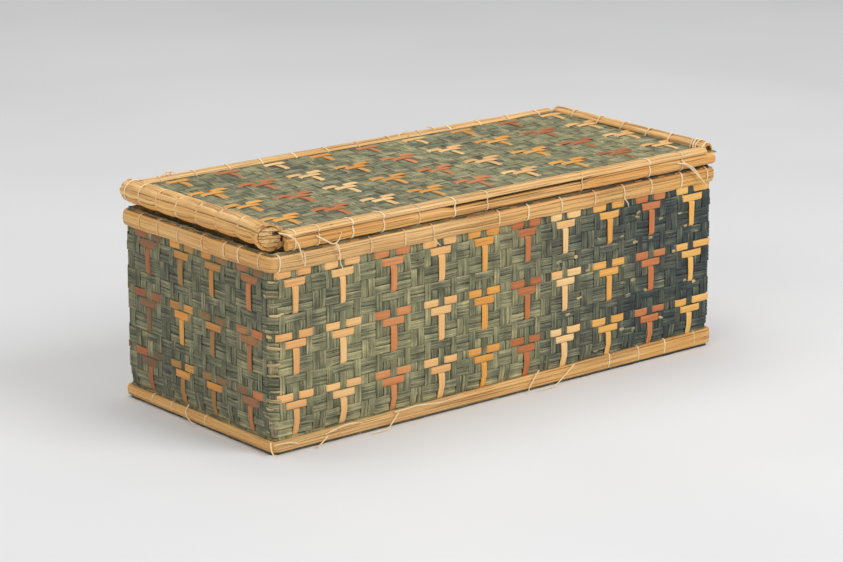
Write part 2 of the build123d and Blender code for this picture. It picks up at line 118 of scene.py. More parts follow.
@dataclass(frozen=True)
class Outline:
    """Rounded rectangle that walls and rims follow, walked from the front wall's left end."""

    half_x: float
    half_y: float
    radius: float
    middle_x: float = 0.0

    @property
    def quarter(self) -> float:
        """Length of one rounded corner."""
        return math.pi / 2 * self.radius

    @property
    def runs(self) -> list[float]:
        """Lengths of the straight parts, in walking order."""
        long_run = 2 * (self.half_x - self.radius)
        short_run = 2 * (self.half_y - self.radius)
        return [long_run, short_run, long_run, short_run]

    @property
    def length(self) -> float:
        """Length once round."""
        return sum(self.runs) + 4 * self.quarter

    def start(self, side: Side) -> float:
        """How far along the walk a wall's straight part starts."""
        return sum(self.runs[: side.value]) + side.value * self.quarter

    def walk_to(self, side: Side, level: float) -> float:
        """Walk to a place on a wall.

        Args:
            side: The wall.
            level: x on the front and back walls, y on the end walls.

        Returns:
            The distance along the outline.
        """
        half = self.half_x if side in (Side.FRONT, Side.BACK) else self.half_y
        from_start = half - self.radius + (level if side in (Side.FRONT, Side.RIGHT) else -level)
        return self.start(side) + from_start

    def place(self, walk: Array, outward: Array | float = 0.0) -> tuple[Array, Array]:
        """Points beside the outline.

        Args:
            walk: Distances along the outline.
            outward: How far outside the outline each point lies.

        Returns:
            Rows of x and y, and rows of the outward direction.
        """
        walk = np.mod(np.asarray(walk, float), self.length)
        point = np.zeros((len(walk), 2))
        out = np.zeros((len(walk), 2))
        inner_x, inner_y = self.half_x - self.radius, self.half_y - self.radius
        corners = [(inner_x, -inner_y), (inner_x, inner_y), (-inner_x, inner_y), (-inner_x, -inner_y)]
        for side in Side:
            begin, run = self.start(side), self.runs[side.value]
            heading = side.value * math.pi / 2
            along = np.array([math.cos(heading), math.sin(heading)])
            normal = np.array([along[1], -along[0]])
            before = np.array(corners[side.value - 1])
            on_run = (walk >= begin) & (walk < begin + run)
            step = (walk[on_run] - begin)[:, None]
            point[on_run] = before + normal * self.radius + along * step
            out[on_run] = normal
            on_turn = (walk >= begin + run) & (walk < begin + run + self.quarter)
            turn = heading - math.pi / 2 + (walk[on_turn] - begin - run) / self.radius
            radial = table(np.cos(turn), np.sin(turn))
            point[on_turn] = np.array(corners[side.value]) + radial * self.radius
            out[on_turn] = radial
        point[:, 0] += self.middle_x
        reach = np.broadcast_to(np.asarray(outward, float), walk.shape)
        return point + out * reach[:, None], out


class Surface(Protocol):
    """A sheet with two directions, on which straws lie."""

    def at(self, across: Array, up: Array) -> tuple[Array, ...]:
        """Point, first direction, second direction and normal for each pair of values."""


@dataclass(frozen=True)
class WallSurface:
    """Upright band round an outline; the second direction is up."""

    outline: Outline
    depth: float
    facing: float = 1.0
    bulge: float = 0.0

    HEIGHTS = (0.0, 0.0022, 0.0036, 0.009, 0.014, 0.019, 0.106, 0.1174, 0.127)
    FULLNESS = (0.75, 0.75, 0.1, 0.1, 0.4, 0.95, 1.0, 0.42, 0.0)

    def at(self, across: Array, up: Array) -> tuple[Array, ...]:
        """Point, walking direction, up and outward normal; a bulging wall is drawn in under the rims.

        Args:
            across: Distances along the outline.
            up: Heights.

        Returns:
            Four arrays of rows of three.
        """
        fullness = np.interp(up, self.HEIGHTS, self.FULLNESS)
        point, out = self.outline.place(across, self.bulge * fullness - self.depth)
        height = np.asarray(up, float)[:, None]
        nothing = np.zeros_like(height)
        along = np.hstack([turned(out), nothing])
        upward = np.hstack([nothing, nothing, nothing + 1.0])
        return np.hstack([point, height]), along, upward, np.hstack([out * self.facing, nothing])


@dataclass(frozen=True)
class SheetSurface:
    """Level sheet whose long margins may turn down; the second direction is +Y."""

    height: float
    facing: float = 1.0
    margin_start: float = 1.0
    margin_slope: float = 0.0

    def at(self, across: Array, up: Array) -> tuple[Array, ...]:
        """Point, +X, +Y and normal.

        Args:
            across: x values.
            up: y values.

        Returns:
            Four arrays of rows of three.
        """
        across, up = np.asarray(across, float), np.asarray(up, float)
        fall = np.maximum(np.abs(up) - self.margin_start, 0.0) * self.margin_slope
        point = table(across, up, self.height - fall)
        ones, nothing = np.ones_like(across), np.zeros_like(across)
        return (
            point,
            table(ones, nothing, nothing),
            table(nothing, ones, nothing),
            table(nothing, nothing, ones * self.facing),
        )


# Bench work: selecting, primitives, grain maps


def deselect_all() -> None:
    """Leaves nothing selected or active."""
    bpy.ops.object.select_all(action="DESELECT")
    bpy.context.view_layer.objects.active = None


def pick(piece: Piece) -> None:
    """Selects one piece alone and makes it active."""
    deselect_all()
    piece.select_set(True)
    bpy.context.view_layer.objects.active = piece


def wave(seed: float, walk: Array, length: float) -> Array:
    """Slow unevenness from -1 to 1, the same each run.

    Args:
        seed: Any number; each gives another wave.
        walk: Places along the piece.
        length: Length of the longest ripple.

    Returns:
        One value for each place.
    """
    turns = 2 * math.pi * np.asarray(walk) / length
    first = np.sin(turns + 12.99 * seed)
    second = np.sin(turns * 2.17 + 4.14 * seed + 1.3)
    third = np.sin(turns * 4.73 + 7.71 * seed + 2.1)
    return (first + 0.6 * second + 0.35 * third) / 1.95


def chance(*seeds: float) -> float:
    """A settled number from 0 to 1 for each set of seeds."""
    mixed = math.sin(sum(s * k for s, k in zip(seeds, (12.9898, 78.233, 37.719, 9.131)))) * 43758.5453
    return mixed - math.floor(mixed)


def write_grain(mesh: bpy.types.Mesh, along: Array, around: Array, girth: float) -> None:
    """Writes the map that finishes follow, in centimetres.

    Args:
        mesh: The mesh.
        along: Place of each vertex along its piece, in metres.
        around: Place of each vertex round its piece, in metres.
        girth: Distance once round, so that no face spans the seam.
    """
    corner_vertex = np.zeros(len(mesh.loops), np.int32)
    mesh.loops.foreach_get("vertex_index", corner_vertex)
    starts = np.zeros(len(mesh.polygons), np.int32)
    counts = np.zeros(len(mesh.polygons), np.int32)
    mesh.polygons.foreach_get("loop_start", starts)
    mesh.polygons.foreach_get("loop_total", counts)
    across = around[corner_vertex]
    highest = np.repeat(np.maximum.reduceat(across, starts), counts)
    across = np.where(highest - across > girth / 2, across + girth, across)
    layer = mesh.uv_layers.new(name=GRAIN)
    both = table(along[corner_vertex], across) / CM
    layer.data.foreach_set("uv", both.astype(np.float32).ravel())


def write_shade(mesh: bpy.types.Mesh, shade: Array) -> None:
    """Stores three values a vertex that finishes read, such as tone, fading and wear."""
    layer = mesh.color_attributes.new(name=SHADE, type="FLOAT_COLOR", domain="POINT")
    values = np.hstack([shade, np.ones((len(shade), 1))])
    layer.data.foreach_set("color", values.astype(np.float32).ravel())


def add_rod(name: str, length: float, sides: int, steps: int) -> tuple[Piece, Array, Array]:
    """Adds a round bar along X and divides it along its length.

    Args:
        name: Name of the piece.
        length: Its length.
        sides: Points round the section.
        steps: How many lengths it is divided into, at least.

    Returns:
        The bar, and for each vertex its share of the length and its number round the section.
    """
    deselect_all()
    bpy.ops.mesh.primitive_cylinder_add(
        vertices=sides, radius=length / 4, depth=length, end_fill_type="NGON", rotation=(0, math.pi / 2, 0)
    )
    rod = bpy.context.active_object
    rod.name = rod.data.name = name
    bpy.ops.object.transform_apply(location=True, rotation=True, scale=True)
    bpy.ops.object.mode_set(mode="EDIT")
    bpy.ops.mesh.select_mode(type="EDGE")
    while steps > 1:
        bpy.ops.mesh.select_all(action="DESELECT")
        bpy.ops.object.mode_set(mode="OBJECT")
        for edge in rod.data.edges:
            first, last = (rod.data.vertices[v].co for v in edge.vertices)
            edge.select = abs(first.x - last.x) > SAME_PLACE
        bpy.ops.object.mode_set(mode="EDIT")
        cuts = min(steps - 1, MOST_CUTS)
        bpy.ops.mesh.subdivide(number_cuts=cuts)
        steps = math.ceil(steps / (cuts + 1))
    bpy.ops.object.mode_set(mode="OBJECT")
    places = np.array([v.co[:] for v in rod.data.vertices])
    share = places[:, 0] / length + 0.5
    number = np.rint(np.arctan2(places[:, 2], places[:, 1]) / (2 * math.pi) * sides).astype(int) % sides
    return rod, share, number


def add_ring(name: str, around: int, sides: int) -> tuple[Piece, Array, Array]:
    """Adds a closed ring.

    Args:
        name: Name of the piece.
        around: Steps once round.
        sides: Points round the section.

    Returns:
        The ring, and for each vertex its share once round and its number round the section.
    """
    deselect_all()
    bpy.ops.mesh.primitive_torus_add(
        major_segments=around, minor_segments=sides, major_radius=1.0, minor_radius=0.25
    )
    ring = bpy.context.active_object
    ring.name = ring.data.name = name
    index = np.arange(around * sides)
    return ring, (index // sides) / around, index % sides


def finish_shape(piece: Piece, places: Array, angle: float = 50.0) -> None:
    """Moves a piece's vertices into place, turns its faces outwards and smooths it.

    Args:
        piece: The piece, still at the origin.
        places: Rows of x, y and z for its vertices.
        angle: Edges sharper than this many degrees stay sharp.
    """
    piece.data.vertices.foreach_set("co", places.astype(np.float32).ravel())
    piece.data.update()
    pick(piece)
    bpy.ops.object.mode_set(mode="EDIT")
    bpy.ops.mesh.select_all(action="SELECT")
    bpy.ops.mesh.normals_make_consistent(inside=False)
    bpy.ops.object.mode_set(mode="OBJECT")
    bpy.ops.object.shade_smooth_by_angle(angle=math.radians(angle))
    deselect_all()


def join(pieces: Sequence[Piece], name: str) -> Piece:
    """Joins pieces of one kind into a single object of separate closed parts."""
    deselect_all()
    for piece in pieces:
        piece.select_set(True)
    bpy.context.view_layer.objects.active = pieces[0]
    if len(pieces) > 1:
        bpy.ops.object.join()
    whole = bpy.context.active_object
    whole.name = whole.data.name = name
    deselect_all()
    return whole


# Finishes


class Shader:
    """Node tree of one finish, with the few steps that all finishes share."""

    def __init__(self, name: str) -> None:
        """Starts a material with its surface shader."""
        self.material = bpy.data.materials.new(name)
        self.material.use_nodes = True
        self.tree = self.material.node_tree
        self.surface = self.tree.nodes["Principled BSDF"]

    def node(self, kind: str, inputs: dict | None = None, **settings: object) -> bpy.types.Node:
        """Adds a node.

        Args:
            kind: Blender's name for the node type.
            inputs: Values or sockets for its inputs, by name or number.
            settings: Its other settings.

        Returns:
            The node.
        """
        made = self.tree.nodes.new(kind)
        for name, value in settings.items():
            setattr(made, name, value)
        for key, value in (inputs or {}).items():
            if isinstance(value, Socket):
                self.tree.links.new(value, made.inputs[key])
            else:
                made.inputs[key].default_value = value
        return made

    def mapped(self, along: float, across: float) -> Socket:
        """The piece's own map, scaled along and across it, a centimetre."""
        grain = self.node("ShaderNodeUVMap", uv_map=GRAIN).outputs["UV"]
        return self.node("ShaderNodeMapping", {"Vector": grain, "Scale": (along, across, 1.0)}).outputs["Vector"]

    def _noise(self, place: Socket, scale: float, detail: float, rough: float) -> Socket:
        """Soft noise at a place, about 0.25 to 0.75."""
        inputs = {"Vector": place, "Scale": scale, "Detail": detail, "Roughness": rough}
        return self.node("ShaderNodeTexNoise", inputs).outputs["Fac"]

    def grain(self, along: float, across: float, detail: float = 3.0) -> Socket:
        """Streaks that follow the piece.

        Args:
            along: Changes a centimetre along the piece.
            across: Changes a centimetre across it.
            detail: Levels of finer streaks.

        Returns:
            The streaks' value.
        """
        return self._noise(self.mapped(along, across), 1.0, detail, 0.55)

    def patches(self, scale: float) -> Socket:
        """Soft patches in the object's own space, at a number a metre."""
        return self._noise(self.node("ShaderNodeTexCoord").outputs["Object"], scale, 2.0, 0.5)

    def sum(self, *parts: tuple[Socket, float], start: float = 0.0) -> Socket:
        """Adds several values, each times its share, to a starting number."""
        total: Socket | float = start
        for socket, share in parts:
            made = self.node("ShaderNodeMath", {0: socket, 1: share, 2: total}, operation="MULTIPLY_ADD")
            total = made.outputs[0]
        return total

    def ramp(self, value: Socket, stops: Sequence[tuple[float, Colour]]) -> Socket:
        """Colours for a value.

        Args:
            value: What picks the colour.
            stops: Places and colours, as seen on a screen.

        Returns:
            The colour.
        """
        made = self.node("ShaderNodeValToRGB", {"Fac": value})
        elements = made.color_ramp.elements
        while len(elements) < len(stops):
            elements.new(0.5)
        for element, (place, colour) in zip(elements, stops):
            element.position = place
            element.color = (*linear(colour), 1.0)
        return made.outputs["Color"]

    def mix(self, share: Socket, first: object, second: object) -> Socket:
        """Blends two colours; a share of 1 gives the second."""
        made = self.node("ShaderNodeMix", data_type="RGBA")
        for key, value in (("Factor", share), ("A", first), ("B", second)):
            socket = next(s for s in made.inputs if s.name == key and s.enabled)
            if isinstance(value, Socket):
                self.tree.links.new(value, socket)
            else:
                socket.default_value = value
        return next(s for s in made.outputs if s.enabled)

    def tint(self, share: Socket, most: float, under: object, colour: Colour) -> Socket:
        """Lays a plain colour over another; it covers the most of it where the share is 1."""
        return self.mix(self.sum((share, most)), under, (*linear(colour), 1.0))

    def line(self, value: Socket, middle: float, width: float) -> Socket:
        """1 along the thin lines where a value passes the middle, else 0."""
        away = self.node("ShaderNodeMath", {0: value, 1: middle}, operation="SUBTRACT")
        size = self.node("ShaderNodeMath", {0: away.outputs[0]}, operation="ABSOLUTE")
        return self.between(size.outputs[0], width, 0.0)

    def between(self, value: Socket, low: float, high: float) -> Socket:
        """0 at the first bound, 1 at the second and beyond."""
        made = self.node("ShaderNodeMapRange", {"Value": value, "From Min": low, "From Max": high})
        return made.outputs["Result"]

    def shade(self) -> Sequence[Socket]:
        """The three values stored on the piece."""
        stored = self.node("ShaderNodeVertexColor", layer_name=SHADE)
        parts = self.node("ShaderNodeSeparateColor", {"Color": stored.outputs["Color"]})
        return parts.outputs

    def close(self, colour: Socket, relief: Socket, depth: float, roughness: object) -> Material:
        """Joins colour, relief and roughness to the surface.

        Args:
            colour: The colour.
            relief: Heights for the fine relief.
            depth: How deep the relief is, in metres.
            roughness: A number or a socket.

        Returns:
            The finished material.
        """
        bump = self.node("ShaderNodeBump", {"Height": relief, "Distance": depth, "Strength": 1.0})
        self.tree.links.new(colour, self.surface.inputs["Base Color"])
        self.tree.links.new(bump.outputs["Normal"], self.surface.inputs["Normal"])
        if isinstance(roughness, Socket):
            self.tree.links.new(roughness, self.surface.inputs["Roughness"])
        else:
            self.surface.inputs["Roughness"].default_value = roughness
        return self.material


def linear(colour: Sequence[float]) -> tuple[float, ...]:
    """Turns a colour of 0 to 255, as seen on a screen, into light."""
    shares = [c / 255 for c in colour]
    return tuple(c / 12.92 if c <= 0.04045 else ((c + 0.055) / 1.055) ** 2.4 for c in shares)


@dataclass(frozen=True)
class GroundStraw:
    """Grey-green dyed straw: fresh where the dye is dark, faded to olive and tan, worn to bare straw."""

    name: str = "dyed_straw"
    fresh: tuple[Colour, ...] = ((28, 34, 36), (50, 60, 58), (78, 88, 76), (152, 142, 102))
    faded: tuple[Colour, ...] = ((82, 82, 58), (128, 126, 92), (166, 160, 116), (220, 200, 142))
    bare: Colour = (222, 188, 132)
    depth: float = 0.22 * MM

    def make(self) -> Material:
        """Builds the material."""
        shader = Shader(self.name)
        tone, fade, wear = shader.shade()[0:3]
        broad = shader.grain(0.22, 9.0)
        fine = shader.grain(0.8, 30.0, detail=2.0)
        speck = shader.grain(5.0, 26.0, detail=1.0)
        value = shader.sum((broad, 1.5), (fine, 1.25), (speck, 0.3), (tone, 0.4), start=-1.1)
        places = (0.1, 0.38, 0.64, 0.98)
        dark = shader.ramp(value, tuple(zip(places, self.fresh)))
        light = shader.ramp(value, tuple(zip(places, self.faded)))
        patch = shader.sum((fade, 1.0), (shader.patches(34.0), 0.7), start=-0.35)
        colour = shader.mix(shader.between(patch, 0.0, 1.0), dark, light)
        worn = shader.sum((wear, 1.4), (fine, 1.6), start=-1.25)
        colour = shader.mix(shader.between(worn, 0.0, 0.7), colour, (*linear(self.bare), 1.0))
        roughness = shader.sum((fine, 0.3), start=0.42)
        return shader.close(colour, shader.sum((broad, 0.6), (fine, 1.0)), self.depth, roughness)


@dataclass(frozen=True)
class MotifStraw:
    """Straw of one warm dye, from its palest to its deepest tone."""

    name: str
    pale: Colour
    middle: Colour
    deep: Colour
    depth: float = 0.12 * MM
    vein: Colour = (120, 78, 44)
    dusty: Colour = (96, 84, 58)

    def make(self) -> Material:
        """Builds the material."""
        shader = Shader(self.name)
        tone, dust, _ = shader.shade()[0:3]
        broad = shader.grain(0.25, 7.0)
        fine = shader.grain(0.7, 34.0, detail=2.0)
        value = shader.sum((broad, 0.7), (fine, 0.5), (tone, 0.8), start=-0.5)
        colour = shader.ramp(value, ((0.08, self.pale), (0.5, self.middle), (0.95, self.deep)))
        dark = shader.line(shader.grain(0.12, 6.5, detail=1.0), 0.42, 0.02)
        colour = shader.tint(dark, 0.35, colour, self.vein)
        colour = shader.tint(dust, 0.65, colour, self.dusty)
        return shader.close(colour, shader.sum((broad, 0.5), (fine, 1.0)), self.depth, 0.5)


@dataclass(frozen=True)
class PlainStraw:
    """Undyed straw of the linings, skirt and underside."""

    name: str = "plain_straw"
    shadowed: Colour = (126, 98, 58)
    middle: Colour = (184, 154, 104)
    light: Colour = (216, 192, 146)
    depth: float = 0.15 * MM

    def make(self) -> Material:
        """Builds the material."""
        shader = Shader(self.name)
        tone = shader.shade()[0]
        broad = shader.grain(0.2, 7.0)
        fine = shader.grain(0.7, 28.0, detail=2.0)
        value = shader.sum((broad, 0.9), (fine, 0.6), (tone, 0.4), (shader.patches(18.0), 0.5), start=-0.72)
        colour = shader.ramp(value, ((0.1, self.shadowed), (0.5, self.middle), (0.9, self.light)))
        return shader.close(colour, shader.sum((broad, 0.5), (fine, 1.0)), self.depth, 0.58)


@dataclass(frozen=True)
class SplitCane:
    """Split cane or reed with long fibres, cracks and small dark knots; the stored tone runs from pale to golden, and
    a second value darkens it, as soil on faces and as painted shade on hidden backs.
    """

    name: str = "split_cane"
    pale: tuple[Colour, ...] = ((186, 132, 76), (232, 186, 122), (252, 222, 166))
    golden: tuple[Colour, ...] = ((168, 104, 38), (226, 160, 76), (250, 206, 122))
    crack: Colour = (74, 44, 20)
    knot: Colour = (98, 62, 32)
    # Dark brown for soil patches, and for the painted shade on the hidden backs and undersides.
    soil_and_back_shade_colour: Colour = (84, 58, 34)
    depth: float = 0.16 * MM

    def make(self) -> Material:
        """Builds the material."""
        shader = Shader(self.name)
        tone, soil_and_back_shade, split = shader.shade()[0:3]
        broad = shader.grain(0.05, 3.2, detail=4.0)
        fine = shader.grain(0.16, 24.0, detail=3.0)
        value = shader.sum((broad, 1.1), (fine, 0.9), (shader.patches(22.0), 0.3), start=-0.62)
        places = (0.1, 0.5, 0.88)
        light = shader.ramp(value, tuple(zip(places, self.pale)))
        warm = shader.ramp(value, tuple(zip(places, self.golden)))
        colour = shader.mix(shader.between(shader.sum((tone, 1.0), (broad, 0.6), start=-0.3), 0.0, 1.0), light, warm)
        cracks = shader.line(shader.grain(0.035, 5.0, detail=2.0), 0.5, 0.016)
        where = shader.between(shader.sum((shader.grain(0.1, 0.4, detail=1.0), 1.0), (split, 0.5)), 0.42, 0.62)
        shown = shader.node("ShaderNodeMath", {0: cracks, 1: where}, operation="MULTIPLY").outputs[0]
        colour = shader.tint(shown, 0.85, colour, self.crack)
        knots = shader.node("ShaderNodeTexVoronoi", {"Vector": shader.mapped(0.42, 1.3), "Scale": 1.0})
        spot = shader.between(knots.outputs["Distance"], 0.075, 0.03)
        colour = shader.tint(spot, 0.7, colour, self.knot)
        # Second stored value: soil on stave faces, painted shade on the backs and undersides of canes.
        colour = shader.tint(soil_and_back_shade, 0.8, colour, self.soil_and_back_shade_colour)
        relief = shader.sum((broad, 0.5), (fine, 0.7), (shown, -1.6))
        return shader.close(colour, relief, self.depth, shader.sum((fine, 0.25), start=0.3))


@dataclass(frozen=True)
class Fibre:
    """Thin pale fibre of the lashings, with a slight twist."""

    name: str = "fibre"
    shadowed: Colour = (208, 166, 110)
    light: Colour = (250, 228, 186)
    depth: float = 0.12 * MM

    def make(self) -> Material:
        """Builds the material."""
        shader = Shader(self.name)
        tone = shader.shade()[0]
        strands = shader.grain(0.9, 22.0, detail=2.0)
        spots = shader.grain(2.4, 3.0, detail=2.0)
        value = shader.sum((strands, 1.0), (spots, 0.6), (tone, 0.35), start=-0.5)
        colour = shader.ramp(value, ((0.1, self.shadowed), (0.75, self.light)))
        return shader.close(colour, strands, self.depth, 0.62)


@dataclass(frozen=True)
class PaleFloor:
    """Plain pale floor with a barely seen unevenness."""

    name: str = "pale_floor"
    light: Colour = (226, 226, 226)
    shadowed: Colour = (221, 221, 222)

    def make(self) -> Material:
        """Builds the material."""
        shader = Shader(self.name)
        cloud = shader.patches(3.0)
        colour = shader.ramp(cloud, ((0.35, self.shadowed), (0.65, self.light)))
        return shader.close(colour, cloud, 0.1 * MM, 0.75)


@dataclass
class Finishes:
    """All finishes of the box, each made once."""

    ground: Material = field(init=False)
    plain: Material = field(init=False)
    cane: Material = field(init=False)
    fibre: Material = field(init=False)
    dyes: dict[Dye, Material] = field(init=False)

    def __post_init__(self) -> None:
        """Makes the materials."""
        self.ground = GroundStraw().make()
        self.plain = PlainStraw().make()
        self.cane = SplitCane().make()
        self.fibre = Fibre().make()
        self.dyes = {
            Dye.PEACH: MotifStraw("peach_straw", (252, 214, 150), (240, 180, 110), (212, 144, 82)).make(),
            Dye.GOLD: MotifStraw("gold_straw", (248, 208, 124), (236, 164, 68), (204, 124, 44)).make(),
            Dye.RUST: MotifStraw("rust_straw", (222, 150, 90), (198, 114, 58), (142, 78, 40)).make(),
        }


MADE: dict[Body, list[Piece]] = {body: [] for body in Body}


def dress(piece: Piece, finish: Material, body: Body, nodes: Sequence[str] = ()) -> None:
    """Gives a piece its finish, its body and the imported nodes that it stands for.

    Args:
        piece: The piece.
        finish: Its material.
        body: What it moves with.
        nodes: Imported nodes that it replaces.
    """
    piece.data.materials.clear()
    piece.data.materials.append(finish)
    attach(piece, body.value)
    if nodes:
        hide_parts(*nodes)
    MADE[body].append(piece)
    log.info("%s: %d faces, on the %s", piece.name, len(piece.data.polygons), body.value)


@dataclass(frozen=True)
class LidSet:
    """How the old lid has set: its rear edge stands a little high, the more so on the left."""

    left: float = 2.8 * MM
    right: float = 1.4 * MM
    level_to: float = -60 * MM
    full_from: float = 80 * MM
    reach: float = 190 * MM

    def rise(self, x: Array, y: Array) -> Array:
        """How far each place has risen."""
        share = np.clip(x / (2 * self.reach) + 0.5, 0, 1)
        back = np.clip((y - self.level_to) / (self.full_from - self.level_to), 0, 1)
        return (self.left + (self.right - self.left) * share) * back

    def apply(self, pieces: Sequence[Piece]) -> None:
        """Sets mat, lining, skirt and rims; the stiff end rolls stay straight."""
        for piece in pieces:
            if "roll" in piece.name:
                continue
            places = np.array([v.co[:] for v in piece.data.vertices])
            places[:, 2] += self.rise(places[:, 0], places[:, 1])
            piece.data.vertices.foreach_set("co", places.astype(np.float32).ravel())
            piece.data.update()


# Straws and plaits


class StrawSheaf:
    """Flat straws gathered into one piece, each a closed strip of its own."""

    SINGLE = ((-0.5, -0.1), (-0.42, 0.38), (0.0, 0.5), (0.42, 0.38), (0.5, -0.1), (0.0, -0.5))
    PAIR = (
        (-0.5, -0.1), (-0.45, 0.34), (-0.27, 0.5), (-0.06, 0.38), (0.0, -0.1),
        (0.06, 0.38), (0.27, 0.5), (0.45, 0.34), (0.5, -0.1), (0.0, -0.5),
    )

    EDGE_ANGLE = 48.0

    def __init__(self, name: str, thickness: float, paired: bool = False) -> None:
        """Starts an empty sheaf.

        Args:
            name: Name of the piece.
            thickness: How thick each straw is.
            paired: Whether each strip is two thin straws side by side.
        """
        self.name = name
        self.thickness = thickness
        self.section = self.PAIR if paired else self.SINGLE
        self.points: list[Array] = []
        self.faces: list[Array] = []
        self.ends: list[Array] = []
        self.grain: list[Array] = []
        self.end_grain: list[Array] = []
        self.shades: list[Array] = []
        self.count = 0
        self.straws = 0

    def add(
        self, centre: Array, across: Array, normal: Array, width: Array | float,
        shade: Array, closed: bool = False, split: float = 0.0, contrast: float = 0.0,
    ) -> None:
        """Adds a straw or a pair.

        Args:
            centre: Its middle line.
            across: Direction of its width at each point.
            normal: Direction that its face looks in.
            width: Its width at each point.
            shade: Tone, fading and wear at each point, or one for the whole.
            closed: Whether its ends meet.
            split: How far off the middle a pair's groove lies, as a share of the width.
            contrast: How much lighter one straw of a pair is.
        """
        section = np.array(self.section)
        section[:, 0] += split * (1 - np.abs(2 * section[:, 0])) * (section[:, 1] > -0.2)
        rings, sides = len(centre), len(section)
        widths = np.broadcast_to(np.asarray(width, float), (rings,))[:, None, None]
        spread = across[:, None, :] * widths * section[None, :, :1]
        rise = normal[:, None, :] * self.thickness * section[None, :, 1:]
        self.points.append((centre[:, None, :] + spread + rise).reshape(-1, 3))
        shades = np.repeat(np.broadcast_to(shade, (rings, 3)), sides, axis=0)
        shades[:, 0] += np.tile(np.where(section[:, 0] > split, 0.5, -0.5) * contrast, rings)
        self.shades.append(shades)
        steps = rings if closed else rings - 1
        ring = np.arange(steps)[:, None]
        side = np.arange(sides)[None, :]
        after, beside = (ring + 1) % rings, (side + 1) % sides
        corners = [ring * sides + side, ring * sides + beside, after * sides + beside, after * sides + side]
        self.faces.append(self.count + np.stack(np.broadcast_arrays(*corners), axis=2).reshape(-1, 4))
        self._map_grain(centre, float(np.mean(widths)), section, steps)
        if not closed:
            last = (rings - 1) * sides
            for start, order in ((0, np.arange(sides)[::-1]), (last, np.arange(sides))):
                self.ends.append(self.count + start + order)
                self.end_grain.append(table(section[order, 1] * 0.05, section[order, 0] * 0.5))
        self.count += rings * sides
        self.straws += 1

    def _map_grain(self, centre: Array, width: float, section: Array, steps: int) -> None:
        """Maps a straw's faces so that streaks run along it and differ from straw to straw."""
        along = run_along(centre)[: steps + 1] / CM + self.straws * 1.7
        breadth = section[:, 0] * width / CM + np.where(section[:, 1] < -0.2, 0.9, 0.0) + self.straws * 2.3
        if len(section) > len(self.SINGLE):
            breadth = breadth + np.where(np.arange(len(section)) > 4, 0.6, 0.0)
        beside = np.roll(breadth, -1)
        here, there = along[:-1], along[1:]
        corners = [
            np.stack(np.broadcast_arrays(run[:, None], level[None, :]), axis=2)
            for run, level in ((here, breadth), (here, beside), (there, beside), (there, breadth))
        ]
        self.grain.append(np.stack(corners, axis=2).reshape(-1, 2))

    def make(self) -> Piece:
        """Turns the sheaf into one mesh object, smooth but for its straws' edges."""
        quads = np.concatenate(self.faces)
        faces = quads.tolist() + [end.tolist() for end in self.ends]
        mesh = bpy.data.meshes.new(self.name)
        mesh.from_pydata(np.concatenate(self.points).tolist(), [], faces)
        layer = mesh.uv_layers.new(name=GRAIN)
        grain = np.concatenate(self.grain + self.end_grain)
        layer.data.foreach_set("uv", grain.astype(np.float32).ravel())
        write_shade(mesh, np.concatenate(self.shades))
        piece = bpy.data.objects.new(self.name, mesh)
        bpy.context.scene.collection.objects.link(piece)
        pick(piece)
        bpy.ops.object.shade_smooth_by_angle(angle=math.radians(self.EDGE_ANGLE))
        deselect_all()
        return piece


ShadeAt = Callable[[Array], Array]


